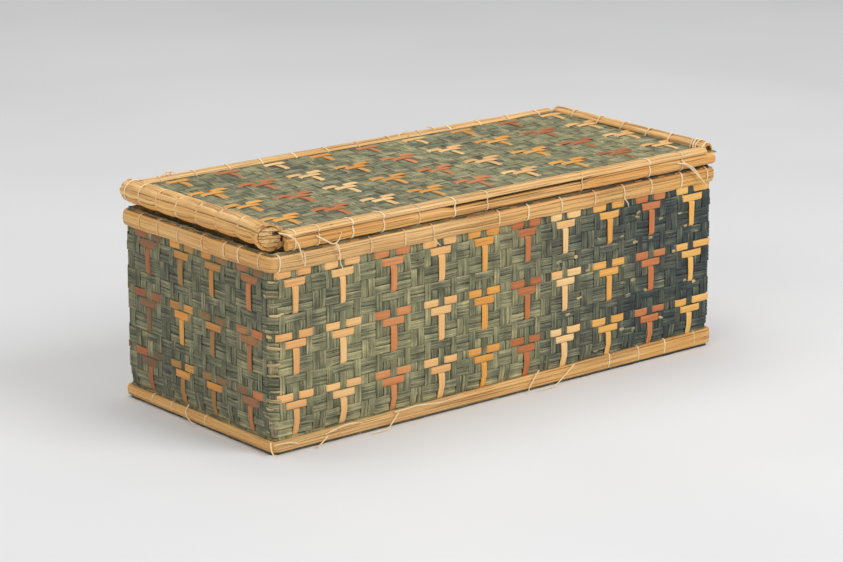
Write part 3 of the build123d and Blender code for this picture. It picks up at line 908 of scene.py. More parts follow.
@dataclass
class Plait:
    """Upright and level straws that cross over and under each other on a surface.

    The straws' middle lines are given by their places; on_top is true where the upright one shows. Below the
    notch's second value, the level ones start at its first.
    """

    name: str
    surface: Surface
    columns: Array
    rows: Array
    on_top: Array
    shade_at: ShadeAt
    lift: float
    thickness: float
    upright_ends: tuple[float, float]
    level_ends: tuple[float, float] | None = None
    fill: float = 0.95
    wander: float = 0.25 * MM
    paired: bool = False
    notch: tuple[float, float] | None = None

    LANDING = 0.34
    RIPPLE = 47 * MM

    def _line(self, places: Array, raised: Array, seed: float) -> tuple[Array, Array]:
        """Places along a straw and its height at each: two a crossing, with steep dips between."""
        pitch = np.gradient(places)
        first = places - pitch * self.LANDING
        second = places + pitch * self.LANDING
        along = table(first, second).ravel()
        height = np.repeat(np.where(raised, self.lift, -self.lift), 2)
        uneven = wave(seed, along, 31 * MM) * 0.09 * MM
        return along, height + uneven

    def _widths(self, along: Array, pitch: float, seed: float) -> Array:
        """Widths of a straw, a little different at each crossing."""
        return pitch * (self.fill + 0.045 * wave(seed + 0.5, along, 23 * MM) - 0.05 * chance(seed, 3.0))

    def _pairing(self, seed: float) -> tuple[float, float]:
        """Where a strip's two straws part, and how their tones differ."""
        if not self.paired:
            return 0.0, 0.0
        return 0.24 * (chance(seed, 6.0) - 0.5), 0.6 * (chance(seed, 8.0) - 0.5)

    def _tones(self, points: Array, seed: float, along: Array) -> Array:
        """Shades along a straw: its own tone on top of the surface's."""
        shade = self.shade_at(points).copy()
        shade[:, 0] += (chance(seed, 1.0) - 0.5) * 0.6 + wave(seed, along, 27 * MM) * 0.45
        return shade

    def _cut(self, along: Array, height: Array, start: float, end: float) -> tuple[Array, Array]:
        """The part of a straw between two places, with a point on each."""
        inside = (along - start) * (along - end) < 0
        height = height[inside]
        return np.concatenate([[start], along[inside], [end]]), np.concatenate([height[:1], height, height[-1:]])

    def uprights(self) -> Piece:
        """Makes the upright straws as one piece; those at a corner lie across it."""
        sheaf = StrawSheaf(f"{self.name}_uprights", self.thickness, self.paired)
        pitches = np.abs(np.gradient(self.columns))
        for number, place in enumerate(self.columns):
            seed = number * 0.731 + 5.0
            along, height = self._cut(*self._line(self.rows, self.on_top[:, number], seed), *self.upright_ends)
            sideways = place + wave(seed, along, self.RIPPLE) * self.wander
            point, _, _, normal = self.surface.at(sideways, along)
            pitch = pitches[number]
            before, after = (self.surface.at(sideways + side * pitch / 2, along)[0] for side in (-1, 1))
            across = unit(after - before)
            normal = unit(normal - across * (normal * across).sum(axis=1)[:, None])
            centre = (before + after) / 2 + normal * height[:, None]
            width = self._widths(along, pitch, seed) * np.linalg.norm(after - before, axis=1) / pitch
            sheaf.add(centre, across, normal, width, self._tones(point, seed, along), False, *self._pairing(seed))
        return sheaf.make()

    def levels(self) -> Piece:
        """Makes the level straws as one piece."""
        sheaf = StrawSheaf(f"{self.name}_levels", self.thickness, self.paired)
        pitches = np.abs(np.gradient(self.rows))
        for number, place in enumerate(self.rows):
            seed = number * 1.373 + 91.0
            along, height = self._line(self.columns, ~self.on_top[number], seed)
            ripple = self.columns[-1] / 22
            if self.level_ends:
                start, end = self.level_ends
                if self.notch and place < self.notch[1]:
                    start = self.notch[0]
                along, height = self._cut(along, height, start, end)
                ripple = self.RIPPLE
            sideways = place + wave(seed, along, ripple) * self.wander
            point, _, across, normal = self.surface.at(along, sideways)
            centre = point + normal * height[:, None]
            width = self._widths(along, pitches[number], seed)
            tones = self._tones(point, seed, along)
            sheaf.add(centre, across, normal, width, tones, not self.level_ends, *self._pairing(seed))
        return sheaf.make()

    def build(self, finish: Material, slot: str, body: Body) -> None:
        """Makes and dresses all straws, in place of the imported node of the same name."""
        for piece in (self.uprights(), self.levels()):
            dress(piece, finish, body, [self.name])


def twill(rows: int, columns: int) -> Array:
    """Plain two-over, two-under twill: for each crossing, whether the upright straw is on top."""
    row, column = np.indices((rows, columns))
    return (row + column) % 4 < 2


@dataclass(frozen=True)
class Motif:
    """Seven-straw figure: two dashes, a bar and a stem, laid in over a plait of V and H crossings."""

    repeat: int = 7
    crossings: tuple[str, ...] = ("VHHVHHV", "HVHHHVH", "HVVVVVH", "VHHVHHV", "VHHVHHV", "HVHHHVH", "HVVVVVH")
    dashes: tuple[tuple[float, float], ...] = ((0.5, 2.5), (3.5, 5.5))
    bar: tuple[float, float] = (1.5, 4.5)
    stem: tuple[float, float] = (1.5, 4.5)
    middle: int = 3

    def on_top(self, rows: Array, columns: Array) -> Array:
        """Whether the upright straw shows, for rows from a motif's dashes and columns from its left edge."""
        return np.array([[self.crossings[r % self.repeat][c % self.repeat] == "V" for c in columns] for r in rows])

    def places(self, column: Array, middles: Sequence[float]) -> Array:
        """Places of columns, which may be fractions, among motifs' middles from one before the first on."""
        numbers = (np.arange(len(middles)) - 1) * self.repeat + self.middle
        return np.interp(np.asarray(column, float), numbers, middles)


@dataclass
class MotifSheaves:
    """The coloured straws of one body, gathered by dye."""

    prefix: str
    surface: Surface
    column_place: Callable[[Array], Array]
    row_place: Callable[[Array], Array]
    row_pitch: float
    column_pitch: float
    ground_top: float
    thickness: float
    strands: int
    motif: Motif = field(default_factory=Motif)
    shown_rows: tuple[float, float] = (-9.0, 99.0)
    stem_width: float = 1.0
    sheaves: dict[Dye, StrawSheaf] = field(init=False)

    TUCK_STEPS = (-0.3, -0.02, 0.13, 0.3)
    TUCK_RISE = (-1.15, -0.7, -0.08, 0.0)
    SHORTEST = 0.7

    def __post_init__(self) -> None:
        """Starts a sheaf for each dye."""
        self.sheaves = {dye: StrawSheaf(f"{self.prefix}_{dye.value}_floats", self.thickness) for dye in Dye}

    def _float(
        self, dye: Dye, start: float, end: float, beside: float, upright: bool, tone: float, dust: float, seed: float
    ) -> None:
        """Lays one float, of one or more straws, with both ends tucked under their neighbours."""
        first_row, last_row = self.shown_rows
        if upright:
            start, end = max(start, first_row), min(end, last_row)
        if end - start < self.SHORTEST or not (upright or first_row < beside < last_row):
            return
        strands = 1 + int(chance(seed, 2.0) * self.strands)
        pitch = self.column_pitch if upright else self.row_pitch
        breadth = (0.74 if upright else 0.86) + 0.1 * (chance(seed, 4.0) - 0.5)
        top = self.ground_top + self.thickness * 0.6
        for strand in range(strands):
            own = seed + strand * 0.37
            width = pitch * breadth / strands * (0.94 + 0.1 * chance(own, 5.0))
            middle = beside + breadth * ((strand + 0.5) / strands - 0.5)
            bow = 0.10 * (chance(seed, 7.0) - 0.5)
            first = start + 0.07 * (chance(own, 8.0) - 0.4)
            last = end + 0.07 * (chance(own, 9.0) - 0.6)
            steps = np.array(self.TUCK_STEPS)
            run = np.concatenate([first + steps, [(first + last) / 2], last - steps[::-1]])
            rise = np.array(self.TUCK_RISE) * MM
            height = top + np.concatenate([rise, [0.1 * MM], rise[::-1]])
            share = (run - first) / (last - first)
            sideways = middle + bow * np.sin(np.clip(share, 0, 1) * math.pi) + 0.03 * (chance(own, 6.0) - 0.5) * share
            columns, rows = (sideways, run) if upright else (run, sideways)
            point, along, up, normal = self.surface.at(self.column_place(columns), self.row_place(rows))
            across = along if upright else up
            if upright:
                width = width * self.stem_width * (1.0 - 0.25 * np.clip(share, 0, 1) * chance(own, 12.0))
            shade = np.zeros((len(run), 3))
            shade[:, 0] = tone + 0.22 * (chance(own, 1.0) - 0.5)
            shade[:, 1] = dust * chance(own, 11.0)
            self.sheaves[dye].add(point + normal * height[:, None], across, normal, width, shade)

    def lay(self, dye: Dye, column: int, row: int, tone: float, dust: float = 0.15) -> None:
        """Lays one motif.

        Args:
            dye: Its colour.
            column: Its place in the row of motifs, from 0.
            row: Its row of motifs, from 0.
            tone: 0 for the dye's palest, 1 for its deepest.
            dust: How far it has greyed.
        """
        left, top = column * self.motif.repeat, row * self.motif.repeat
        seed = column * 3.1 + row * 17.7
        for number, (start, end) in enumerate(self.motif.dashes):
            self._float(dye, left + start, left + end, top, False, tone, dust, seed + number)
        start, end = self.motif.bar
        self._float(dye, left + start, left + end, top + 1, False, tone, dust, seed + 2)
        start, end = self.motif.stem
        self._float(dye, top + start, top + end, left + self.motif.middle, True, tone, dust, seed + 3)

    def make(self, finishes: Finishes, body: Body) -> None:
        """Makes each dye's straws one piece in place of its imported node."""
        for dye, sheaf in self.sheaves.items():
            node = f"{body.value}_{dye.value}_straws"
            dress(sheaf.make(), finishes.dyes[dye], body, [node])


@dataclass(frozen=True)
class MotifColumn:
    """Dye and tone of one upright row of motifs."""

    dye: Dye
    tone: float


def column_of(letters: str) -> list[MotifColumn]:
    """Reads motif columns from a short line such as "P3 G7": dye and tone in tenths."""
    dyes = {"P": Dye.PEACH, "G": Dye.GOLD, "R": Dye.RUST}
    return [MotifColumn(dyes[word[0]], int(word[1:]) / 10) for word in letters.split()]


@dataclass
class PlaitedWalls:
    """Outer side mat of the base, with its motifs and its worn strips; motif places are in millimetres."""

    outline: Outline
    mat_depth: float = 0.6 * MM
    lift: float = 0.4 * MM
    thickness: float = 0.42 * MM
    row_pitch: float = 5.65 * MM
    first_row: float = 115.1 * MM
    rows_above: int = 2
    row_count: int = 23
    front_places: tuple[float, ...] = (-172, -134.9, -94, -54.5, -18.1, 19, 52.3, 92.5, 131.1, 168.7)
    left_places: tuple[float, ...] = (51.6, 15.2, -18.5, -57.8)
    strip: float = 5.25 * MM
    front_motifs: str = "P6 P3 R2 P4 G6 R6 P2 G4 R4 G3"
    end_motifs: str = "R8 G6 G7 R4"
    motif_rows: int = 3
    bulge: float = 2.5 * MM
    corner_strips: int = 15
    worn_strips: int = 48
    darker_from: float = 0.47
    darker_over: float = 0.36
    corner_wear: float = 8 * MM
    # Height below which the mat is darkened: painted shade at the floor, partly the mat's dark edge.
    foot: float = 3 * MM
    foot_gap: float = 0.3 * MM
    float_thickness: float = 0.4 * MM
    stem_width: float = 1.35
    front_dust: float = 0.15
    end_dust: float = 1.4
    motif: Motif = field(default_factory=Motif)

    @property
    def motif_walks(self) -> Array:
        """Walk to the middle of each motif, once round; the spacing is a little uneven, as it was woven."""
        walks = []
        for side, places in zip(Side, (self.front_places, self.left_places) * 2):
            sign = -1.0 if side in (Side.BACK, Side.RIGHT) else 1.0
            walks += [self.outline.walk_to(side, sign * place * MM) for place in places]
        return np.array(walks)

    def column_place(self, column: Array) -> Array:
        """Walk to a column, which may be a fraction; columns count from the first motif's left edge."""
        walks, turn = self.motif_walks, self.outline.length
        return self.motif.places(column, [walks[-1] - turn, *walks, walks[0] + turn])

    def row_place(self, row: Array) -> Array:
        """Height of a row, which may be a fraction; rows count from the top motifs' dashes."""
        return self.first_row - np.asarray(row, float) * self.row_pitch

    def shade(self, point: Array) -> Array:
        """Tone, fading and wear of the mat: darker dye to the right, painted shade at the foot that is partly the
        mat's own dark edge, and wear at one corner.
        """
        x, y, z = point.T
        half_x, half_y = self.outline.half_x, self.outline.half_y
        share = (x + half_x) / (2 * half_x)
        patch = wave(2.0, x, 110 * MM) * 0.08 + wave(6.0, z, 70 * MM) * 0.08
        fade = 0.83 - 0.8 * np.clip((share - self.darker_from) / self.darker_over, 0, 1) + patch
        on_left = (x < -half_x + 1 * MM) | (x > half_x - 1 * MM)
        fade = np.where(on_left, 0.55 + patch + 0.1 * wave(3.0, y, 60 * MM), fade)
        corner = np.hypot(x + half_x, y + half_y)
        wear = np.clip(1.0 - corner / self.corner_wear, 0, 1) * (0.3 + 0.4 * wave(9.0, z, 38 * MM))
        # At the foot the tone is pushed dark: painted shadow under the binding, partly the mat's own dark edge.
        tone = np.where(z < self.foot, -0.9, np.where(x > half_x * 0.6, -0.05, 0.0))
        return table(tone, fade, np.clip(wear, 0, 1))

    def build(self, finishes: Finishes) -> None:
        """Makes the mat and its motifs."""
        surface = WallSurface(self.outline, self.mat_depth, bulge=self.bulge)
        count = len(self.motif_walks) * self.motif.repeat
        columns = np.arange(count)
        rows = np.arange(self.row_count) - self.rows_above
        low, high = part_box("side_mat")
        Plait(
            "side_mat", surface, self.column_place(columns), self.row_place(rows),
            self.motif.on_top(rows, columns), self.shade, self.lift, self.thickness,
            (high.z, low.z + self.foot_gap), paired=True,
        ).build(finishes.ground, "dyed_straw", Body.BASE)
        self._worn(surface, finishes)
        floats = MotifSheaves(
            "base", surface, self.column_place, self.row_place, self.row_pitch, self.strip,
            self.lift + self.thickness / 2, self.float_thickness, 1, stem_width=self.stem_width,
        )
        front, ends = column_of(self.front_motifs), column_of(self.end_motifs)
        around = [(column, self.front_dust) for column in front] + [(column, self.end_dust) for column in ends]
        for number, (column, dust) in enumerate(around + around):
            for row in range(self.motif_rows):
                floats.lay(column.dye, number, row, column.tone, dust)
        floats.make(finishes, Body.BASE)

    def _worn(self, surface: WallSurface, finishes: Finishes) -> None:
        """Broken, bleached strips along the front left corner and, shorter, on the right of the front."""
        sheaf = StrawSheaf("side_mat_worn_strips", 0.3 * MM)
        for number in range(self.worn_strips):
            height = (13 + 100 * (number + chance(number, 1.0)) / self.corner_strips) * MM
            start, reach = (-8 + 6 * chance(number, 2.0)) * MM, 6 * MM
            if number >= self.corner_strips:
                height = (16 + 94 * chance(number, 9.0)) * MM
                start, reach = self.outline.walk_to(Side.FRONT, (40 + 142 * chance(number, 2.5)) * MM), 2 * MM
            end = start + 2.5 * MM + reach * chance(number, 3.0)
            walk = np.linspace(start, end, 7)
            level = height + wave(number, walk, 9 * MM) * 0.5 * MM + (walk - start) * 0.3 * (chance(number, 4.0) - 0.5)
            point, _, across, normal = surface.at(walk, level)
            lifted = np.array([0.4, 0.65, 0.7, 0.72, 0.72, 0.75, 1.0]) * MM
            width = (0.9 + 1.7 * chance(number, 5.0)) * MM * np.array([0.6, 1, 1, 1, 0.95, 0.8, 0.5])
            shade = np.array([0.8 * (chance(number, 6.0) - 0.5), 0.9, 0.2 + 0.55 * chance(number, 7.0)])
            sheaf.add(point + normal * lifted[:, None], across, normal, width, shade)
        dress(sheaf.make(), finishes.ground, Body.BASE, ["side_mat"])


@dataclass
class PlainPlait:
    """Undyed twill of one of the box's sheets or bands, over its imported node."""

    node: str
    surface: Surface
    across: tuple[float, float]
    up: tuple[float, float]
    pitch: float
    body: Body
    around: bool = False
    tone: float = 0.0
    lift: float = 0.2 * MM
    thickness: float = 0.36 * MM

    def build(self, finishes: Finishes) -> None:
        """Makes the upright and level straws."""
        column_count = max(2, round(abs(self.across[1] - self.across[0]) / self.pitch / 4) * 4)
        row_count = max(2, round(abs(self.up[1] - self.up[0]) / self.pitch))
        columns = np.linspace(*self.across, column_count + 1)
        columns = (columns[1:] + columns[:-1]) / 2
        rows = np.linspace(*self.up, row_count + 1)
        rows = (rows[1:] + rows[:-1]) / 2

        def shade(point: Array) -> Array:
            """One tone over the whole sheet."""
            return np.tile([self.tone, 0.0, 0.0], (len(point), 1))

        Plait(
            self.node, self.surface, columns, rows, twill(len(rows), len(columns)), shade, self.lift, self.thickness,
            self.up, None if self.around else self.across,
        ).build(finishes.plain, "plain_straw", self.body)


@dataclass
class PlainSheets:
    """Linings and underside of the box, all undyed."""

    outline: Outline
    lining_depth: float = 1.75 * MM
    lining_foot: float = 2 * MM
    pitch: float = 7 * MM
    bottom_pitch: float = 8 * MM
    below_top: float = 0.4 * MM

    def build(self, finishes: Finishes) -> None:
        """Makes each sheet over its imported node."""
        wall = WallSurface(self.outline, self.lining_depth, -1.0)
        around, up = (0.0, self.outline.length), (self.lining_foot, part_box("side_lining")[1].z)
        PlainPlait("side_lining", wall, around, up, self.pitch, Body.BASE, True).build(finishes)
        for node, body, facing, pitch, tone in (
            ("bottom_mat", Body.BASE, -1.0, self.bottom_pitch, -0.3),
            ("bottom_lining", Body.BASE, 1.0, self.pitch, 0.0),
            ("lid_lining", Body.LID, -1.0, self.pitch, 0.0),
        ):
            low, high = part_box(node)
            sheet = SheetSurface(high.z / 2 if node == "bottom_mat" else high.z - self.below_top, facing)
            PlainPlait(node, sheet, (low.x, high.x), (low.y, high.y), pitch, body, tone=tone).build(finishes)


@dataclass
class PlaitedLid:
    """Top mat of the lid with its motifs; motif places are in millimetres."""

    pitch: float = 5.83 * MM
    row_pitch: float = 5.53 * MM
    first_row: float = 73.7 * MM
    rows_above: int = 1
    row_count: int = 29
    motif_places: tuple[float, ...] = (-154.0, -113.8, -75.5, -36.5, 3.8, 45.0, 88.5, 131.5, 172.5)
    motifs: str = "G5 R5 P2 G6 R3 P3 G5 R7 P4"
    motif_rows: int = 4
    lift: float = 0.36 * MM
    thickness: float = 0.42 * MM
    float_thickness: float = 0.36 * MM
    dust: float = 0.35
    shown: float = 71.2 * MM
    depth: float = 0.6 * MM
    clear_left: float = 12 * MM
    short_left: float = 8 * MM
    short_right: float = 3 * MM
    notch_left: float = 12.5 * MM
    notch_below: float = -70 * MM
    motif: Motif = field(default_factory=lambda: Motif(stem=(1.5, 3.7)))

    def column_place(self, column: Array) -> Array:
        """x of a column, which may be a fraction; the weaver's motifs are not quite evenly spaced."""
        places, step = np.array(self.motif_places) * MM, self.motif.repeat * self.pitch
        return self.motif.places(column, [places[0] - step, *places, places[-1] + step])

    def row_place(self, row: Array) -> Array:
        """y of a row, which may be a fraction."""
        return self.first_row - np.asarray(row, float) * self.row_pitch

    def shade(self, point: Array) -> Array:
        """Tone, fading and wear of the lid's mat: silvery, paler and more worn to the right."""
        x, y = point[:, 0], point[:, 1]
        patch = wave(4.0, x, 130 * MM) * 0.1 + wave(7.0, y, 60 * MM) * 0.08
        share = (x / (190 * MM) + 1) / 2
        fade = 0.62 + 0.25 * share + patch
        wear = np.clip((share - 0.6) * 0.35 + patch * 0.5, 0, 0.3)
        return table(0.04 + 0 * x, fade, wear)

    def build(self, finishes: Finishes) -> None:
        """Makes the mat and its motifs."""
        low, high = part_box("lid_mat")
        surface = SheetSurface(high.z - self.depth, 1.0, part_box("lid_lining")[1].y, MARGIN_SLOPE)
        columns = np.arange(-2, len(self.motifs.split()) * self.motif.repeat)
        columns = columns[self.column_place(columns) > low.x + self.clear_left]
        rows = np.arange(self.row_count) - self.rows_above
        Plait(
            "lid_mat", surface, self.column_place(columns), self.row_place(rows),
            self.motif.on_top(rows, columns), self.shade, self.lift, self.thickness,
            (high.y, low.y), (low.x + self.short_left, high.x - self.short_right), paired=True,
            notch=(low.x + self.notch_left, self.notch_below),
        ).build(finishes.ground, "dyed_straw", Body.LID)
        rows_shown = ((self.first_row - self.shown) / self.row_pitch, (self.first_row + self.shown) / self.row_pitch)
        floats = MotifSheaves(
            "lid", surface, self.column_place, self.row_place, self.row_pitch, self.pitch,
            self.lift + self.thickness / 2, self.float_thickness, 3, self.motif, rows_shown,
        )
        for number, column in enumerate(column_of(self.motifs)):
            for row in range(self.motif_rows):
                floats.lay(column.dye, number, row, column.tone, self.dust)
        floats.make(finishes, Body.LID)


# Canes and reeds


@dataclass(frozen=True)
class CaneSection:
    """Split cane seen end on: flat behind, crowned outside, as rows of outward and up.

    Sizes are its thickness at the crown and edges, and the shares are of its height.
    """

    thickness: float
    edge: float
    face_points: int = 24
    back_points: int = 8
    fullness: float = 2.6
    ridges: tuple[float, ...] = (-0.5, -0.43, -0.2, 0.06, 0.31, 0.46, 0.5)

    @property
    def sides(self) -> int:
        """Points once round."""
        return self.face_points + self.back_points

    def points(self) -> tuple[Array, Array, Array]:
        """Points round the section, from its lower outer edge.

        Returns:
            Outward distance, height from -0.5 to 0.5, and whether each is on the face.
        """
        up = np.linspace(-0.5, 0.5, self.face_points)
        ridge = np.array(self.ridges)
        out = np.interp(up, ridge, self.edge + (self.thickness - self.edge) * (1 - np.abs(2 * ridge) ** self.fullness))
        back = np.linspace(0.5, -0.5, self.back_points)
        face = np.concatenate([np.ones(self.face_points, bool), np.zeros(self.back_points, bool)])
        return np.concatenate([out, np.zeros(self.back_points)]), np.concatenate([up, back * 0.98]), face


def cane_relief(walk: Array, up: Array, seed: float, groove: float) -> Array:
    """Unevenness of a cane's face: flats between long ridges, and a groove that comes and goes.

    Args:
        walk: Places along the cane.
        up: Heights from -0.5 to 0.5.
        seed: Picks the pattern.
        groove: Depth of the groove.

    Returns:
        How far each point stands out.
    """
    flats = 0.15 * MM * np.sin(up * 23 + seed + 1.5 * wave(seed, walk, 300 * MM))
    swell = 0.12 * MM * wave(seed + 1, walk, 60 * MM)
    line = 0.14 * wave(seed + 2, walk, 260 * MM)
    near = np.exp(-(((up - line) / 0.035) ** 2))
    second = np.exp(-(((up - line + 0.3) / 0.03) ** 2))
    strength = np.clip(0.5 + 0.9 * wave(seed + 3, walk, 210 * MM), 0, 1)
    other = np.clip(0.2 + 0.9 * wave(seed + 4, walk, 170 * MM), 0, 1)
    return flats + swell - groove * (near * strength + 0.7 * second * other)


def clear_of_edges(up: Array) -> Array:
    """1 over most of a cane's face, less towards its two edges."""
    return np.clip(1.3 - np.abs(2 * up) ** 3, 0, 1)


def level_at(height: float) -> Callable[[Array], Array]:
    """A height, or a gap, that stays the same all the way."""
    return lambda walk: np.full(len(walk), height)


@dataclass
class OutlineCane:
    """Cane or reed bent round an outline, whole or in a length with scarfed ends."""

    node: str
    outline: Outline
    section: CaneSection
    behind: float
    low: Callable[[Array], Array]
    high: Callable[[Array], Array]
    walk: tuple[float, float]
    body: Body
    facing: float = 1.0
    closed: bool = False
    scarf: float = 18 * MM
    scarf_outside: bool = True
    groove: float = 0.35 * MM
    step: float = 3.0 * MM
    ragged: float = 0.25 * MM
    seed: float = 1.0
    tone: Callable[[Array], Array] | None = None
    pinches: Sequence[float] = ()

    THINNED = 0.82

    def build(self, finish: Material, slot: str) -> None:
        """Makes the cane and dresses it with its material."""
        start, end = self.walk
        sides = self.section.sides
        steps = min(max(8, round((end - start) / self.step)), MOST_RING_STEPS)
        if self.closed:
            piece, share, number = add_ring(f"{self.node}_split", steps, sides)
        else:
            piece, share, number = add_rod(f"{self.node}_split", end - start, sides, steps)
        walk = start + share * (end - start)
        out_points, up_points, on_face = self.section.points()
        out, up = out_points[number], up_points[number]
        face = on_face[number]
        relief = cane_relief(walk, up, self.seed, self.groove)
        out = np.where(face, out + relief * clear_of_edges(up), out)
        for pinch in self.pinches:
            out = out - np.where(face, PINCH * np.exp(-(((walk - pinch) / PINCH_REACH) ** 2)), 0)
        if not self.closed:
            out = self._scarfed(out, walk, start, end)
        level, places = self._heights(walk, up)
        point, _ = self.outline.place(walk, (self.behind + out) * self.facing)
        places[:, :2] = point
        girth = 2 * float(np.mean(level)) + 4 * self.section.thickness
        around = number / sides * girth
        write_grain(piece.data, walk, around, girth)
        tone = self.tone(walk) if self.tone else np.full(len(walk), 0.5)
        # The back, hidden against the wall and its neighbours, is darkened as painted shade.
        soil_and_back_shade = np.where(face, 0.0, 0.25)
        write_shade(piece.data, table(tone, soil_and_back_shade, np.full(len(walk), 0.3)))
        finish_shape(piece, places)
        dress(piece, finish, self.body, [self.node])

    def _heights(self, walk: Array, up: Array) -> tuple[Array, Array]:
        """The cane's height at each point, and rows of places with z filled in."""
        low = self.low(walk) + self.ragged * wave(self.seed + 5, walk, 75 * MM)
        high = self.high(walk) + 0.15 * MM * wave(self.seed + 6, walk, 120 * MM)
        places = np.zeros((len(walk), 3))
        places[:, 2] = (low + high) / 2 + up * (high - low)
        return high - low, places

    def _scarfed(self, out: Array, walk: Array, start: float, end: float) -> Array:
        """Thins both ends, so that two lengths overlap as one."""
        near_end = np.minimum(walk - start, end - walk)
        gone = np.clip(1 - near_end / self.scarf, 0, 1) * self.THINNED
        thick = self.section.thickness
        if self.scarf_outside:
            return np.maximum(out, gone * thick)
        return np.minimum(out, thick * (1 - gone))


@dataclass
class StraightCane:
    """Cane that runs along X between two places, with its section given as rows of y and z."""

    node: str
    span: tuple[float, float]
    section: Array
    face: Array
    seed: float
    tone: float
    body: Body = Body.LID
    groove: float = 0.35 * MM
    pinches: Sequence[float] = ()
    fuller: Callable[[Array], Array] | None = None

    STEP = 3.2 * MM
    TORN = 0.9 * MM

    @property
    def around(self) -> Array:
        """Distance round the section to each of its points, and once round at the end."""
        return run_along(self.section)

    def shape(self, walk: Array, number: Array, stand: float = 0.0) -> Array:
        """y and z of points on the cane.

        Args:
            walk: x of each point.
            number: Its number in the section.
            stand: How far off the face it lies.

        Returns:
            Rows of y and z.
        """
        around = self.around
        tangent = unit(np.roll(self.section, -1, axis=0) - np.roll(self.section, 1, axis=0))
        outward = table(tangent[:, 1], -tangent[:, 0])
        if np.sum(outward * (self.section - self.section.mean(axis=0))) < 0:
            outward = -outward
        up = (around[:-1] / around[-1] - 0.5)[number]
        relief = cane_relief(walk, up * 1.6, self.seed, self.groove)
        for pinch in self.pinches:
            relief = relief - PINCH * np.exp(-(((walk - pinch) / PINCH_REACH) ** 2))
        relief = np.where(self.face[number], relief, 0) + stand
        shape = self.section[number] + outward[number] * relief[:, None]
        if self.fuller:
            low, high = self.section[:, 1].min(), self.section[:, 1].max()
            shape[:, 1] += self.fuller(walk) * (self.section[number, 1] - low) / (high - low)
        return shape

    def over(self, place: float, stand: float = 0.38 * MM) -> Array:
        """Line close over the face at one place, from the section's first point on."""
        number = np.flatnonzero(self.face)[::2]
        return self.shape(np.full(len(number), place), number, stand)

    def build(self, finish: Material, slot: str) -> None:
        """Makes the cane and dresses it with its material."""
        start, end = self.span
        steps = round((end - start) / self.STEP)
        piece, share, number = add_rod(f"{self.node}_split", end - start, len(self.section), steps)
        walk = start + share * (end - start)
        around = self.around[number]
        ragged = np.where(np.abs(share - 0.5) > 0.496, self.TORN * wave(self.seed, around, 7 * MM), 0)
        write_grain(piece.data, walk, around, float(self.around[-1]))
        tone = self.tone + 0.25 * wave(self.seed, walk, 240 * MM)
        # The back and underside, hidden against the mat and core, are darkened as painted shade.
        soil_and_back_shade = np.where(self.face[number], 0.0, 0.3)
        write_shade(piece.data, table(tone, soil_and_back_shade, np.full(len(walk), 0.55)))
        finish_shape(piece, np.hstack([(walk + ragged)[:, None], self.shape(walk, number)]))
        dress(piece, finish, self.body, [self.node])


# Lashings


def rounded(points: Sequence[tuple[float, float]], cuts: int = 2) -> Array:
    """Closed line with its corners cut back a few times.

    Args:
        points: Corners.
        cuts: How often each corner is halved.

    Returns:
        Rows of the smoother line.
    """
    line = np.array(points, float)
    for _ in range(cuts):
        after = np.roll(line, -1, axis=0)
        line = table(0.75 * line + 0.25 * after, 0.25 * line + 0.75 * after).reshape(-1, 2)
    return line


def add_loop(name: str, route: Array, cane_way: Array, breadth: float, depth: float, tone: float) -> Piece:
    """Makes one closed loop of fibre.

    Args:
        name: Name of the loop.
        route: Its middle line, once round.
        cane_way: Direction of the cane that it holds.
        breadth: Its width along the cane.
        depth: Its thickness.
        tone: Its own shade.

    Returns:
        The loop.
    """
    sides = 6
    loop, share, number = add_ring(name, len(route), sides)
    ring = np.rint(share * len(route)).astype(int)
    tangent = unit(np.roll(route, -1, axis=0) - np.roll(route, 1, axis=0))
    level = unit(cane_way - tangent * (tangent @ cane_way)[:, None])
    outward = np.cross(tangent, level)
    turn = number / sides * 2 * math.pi
    spread = level[ring] * (np.cos(turn) * breadth / 2)[:, None] + outward[ring] * (np.sin(turn) * depth / 2)[:, None]
    along = run_along(route)[:-1]
    girth = 2 * (breadth + depth)
    write_grain(loop.data, along[ring] + tone * 0.3, number / sides * girth + tone * 0.2, girth)
    write_shade(loop.data, np.tile([tone, 0.0, 0.0], (len(number), 1)))
    finish_shape(loop, route[ring] + spread, angle=80)
    return loop


def hugging(section: CaneSection, gap: float, low: float, high: float, walk: float, seed: float) -> list[tuple]:
    """Line close round a cane's pinched face, from its upper edge to its lower one.

    Args:
        section: The cane's section.
        gap: How far outside the outline the cane's back lies.
        low: Height of its lower edge.
        high: Height of its upper edge.
        walk: Place along the cane.
        seed: The cane's own seed.

    Returns:
        Outward distances and heights.
    """
    out, up, face = section.points()
    out, up = out[face][::-3], up[face][::-3]
    relief = cane_relief(np.full(len(up), walk), up, seed, 0.0) * clear_of_edges(up)
    return list(zip(gap + out + relief + 0.1 * MM, (low + high) / 2 + up * (high - low)))


@dataclass
class OutlineLashing:
    """Loops of fibre round a cane that follows an outline."""

    node: str
    outline: Outline
    profile: Callable[[float], Sequence[tuple[float, float]]]
    walks: Sequence[float]
    body: Body = Body.BASE
    breadth: float = 1.15 * MM
    depth: float = 0.75 * MM

    def build(self, finishes: Finishes) -> None:
        """Makes all loops one piece."""
        loops = []
        for number, walk in enumerate(self.walks):
            line = rounded(self.profile(walk), 1)
            lean = (chance(number, 3.3) - 0.5) * 2.4 * MM
            height = line[:, 1]
            share = (height - height.min()) / (height.max() - height.min()) - 0.5
            sideways = walk + lean * share
            point, out = self.outline.place(sideways, line[:, 0])
            route = np.hstack([point, height[:, None]])
            way = np.array([*turned(out[:1])[0], 0.0])
            breadth = self.breadth * (0.85 + 0.35 * chance(number, 5.1))
            loops.append(add_loop(f"{self.node}_{number}", route, way, breadth, self.depth, chance(number, 7.7)))
        dress(join(loops, f"{self.node}_loops"), finishes.fibre, self.body, [self.node])


def spread(length: float, pitch: float) -> list[float]:
    """Evenly spaced places on a length, from its start."""
    count = max(1, round(length / pitch))
    return [length * (number + 0.5) / count for number in range(count)]


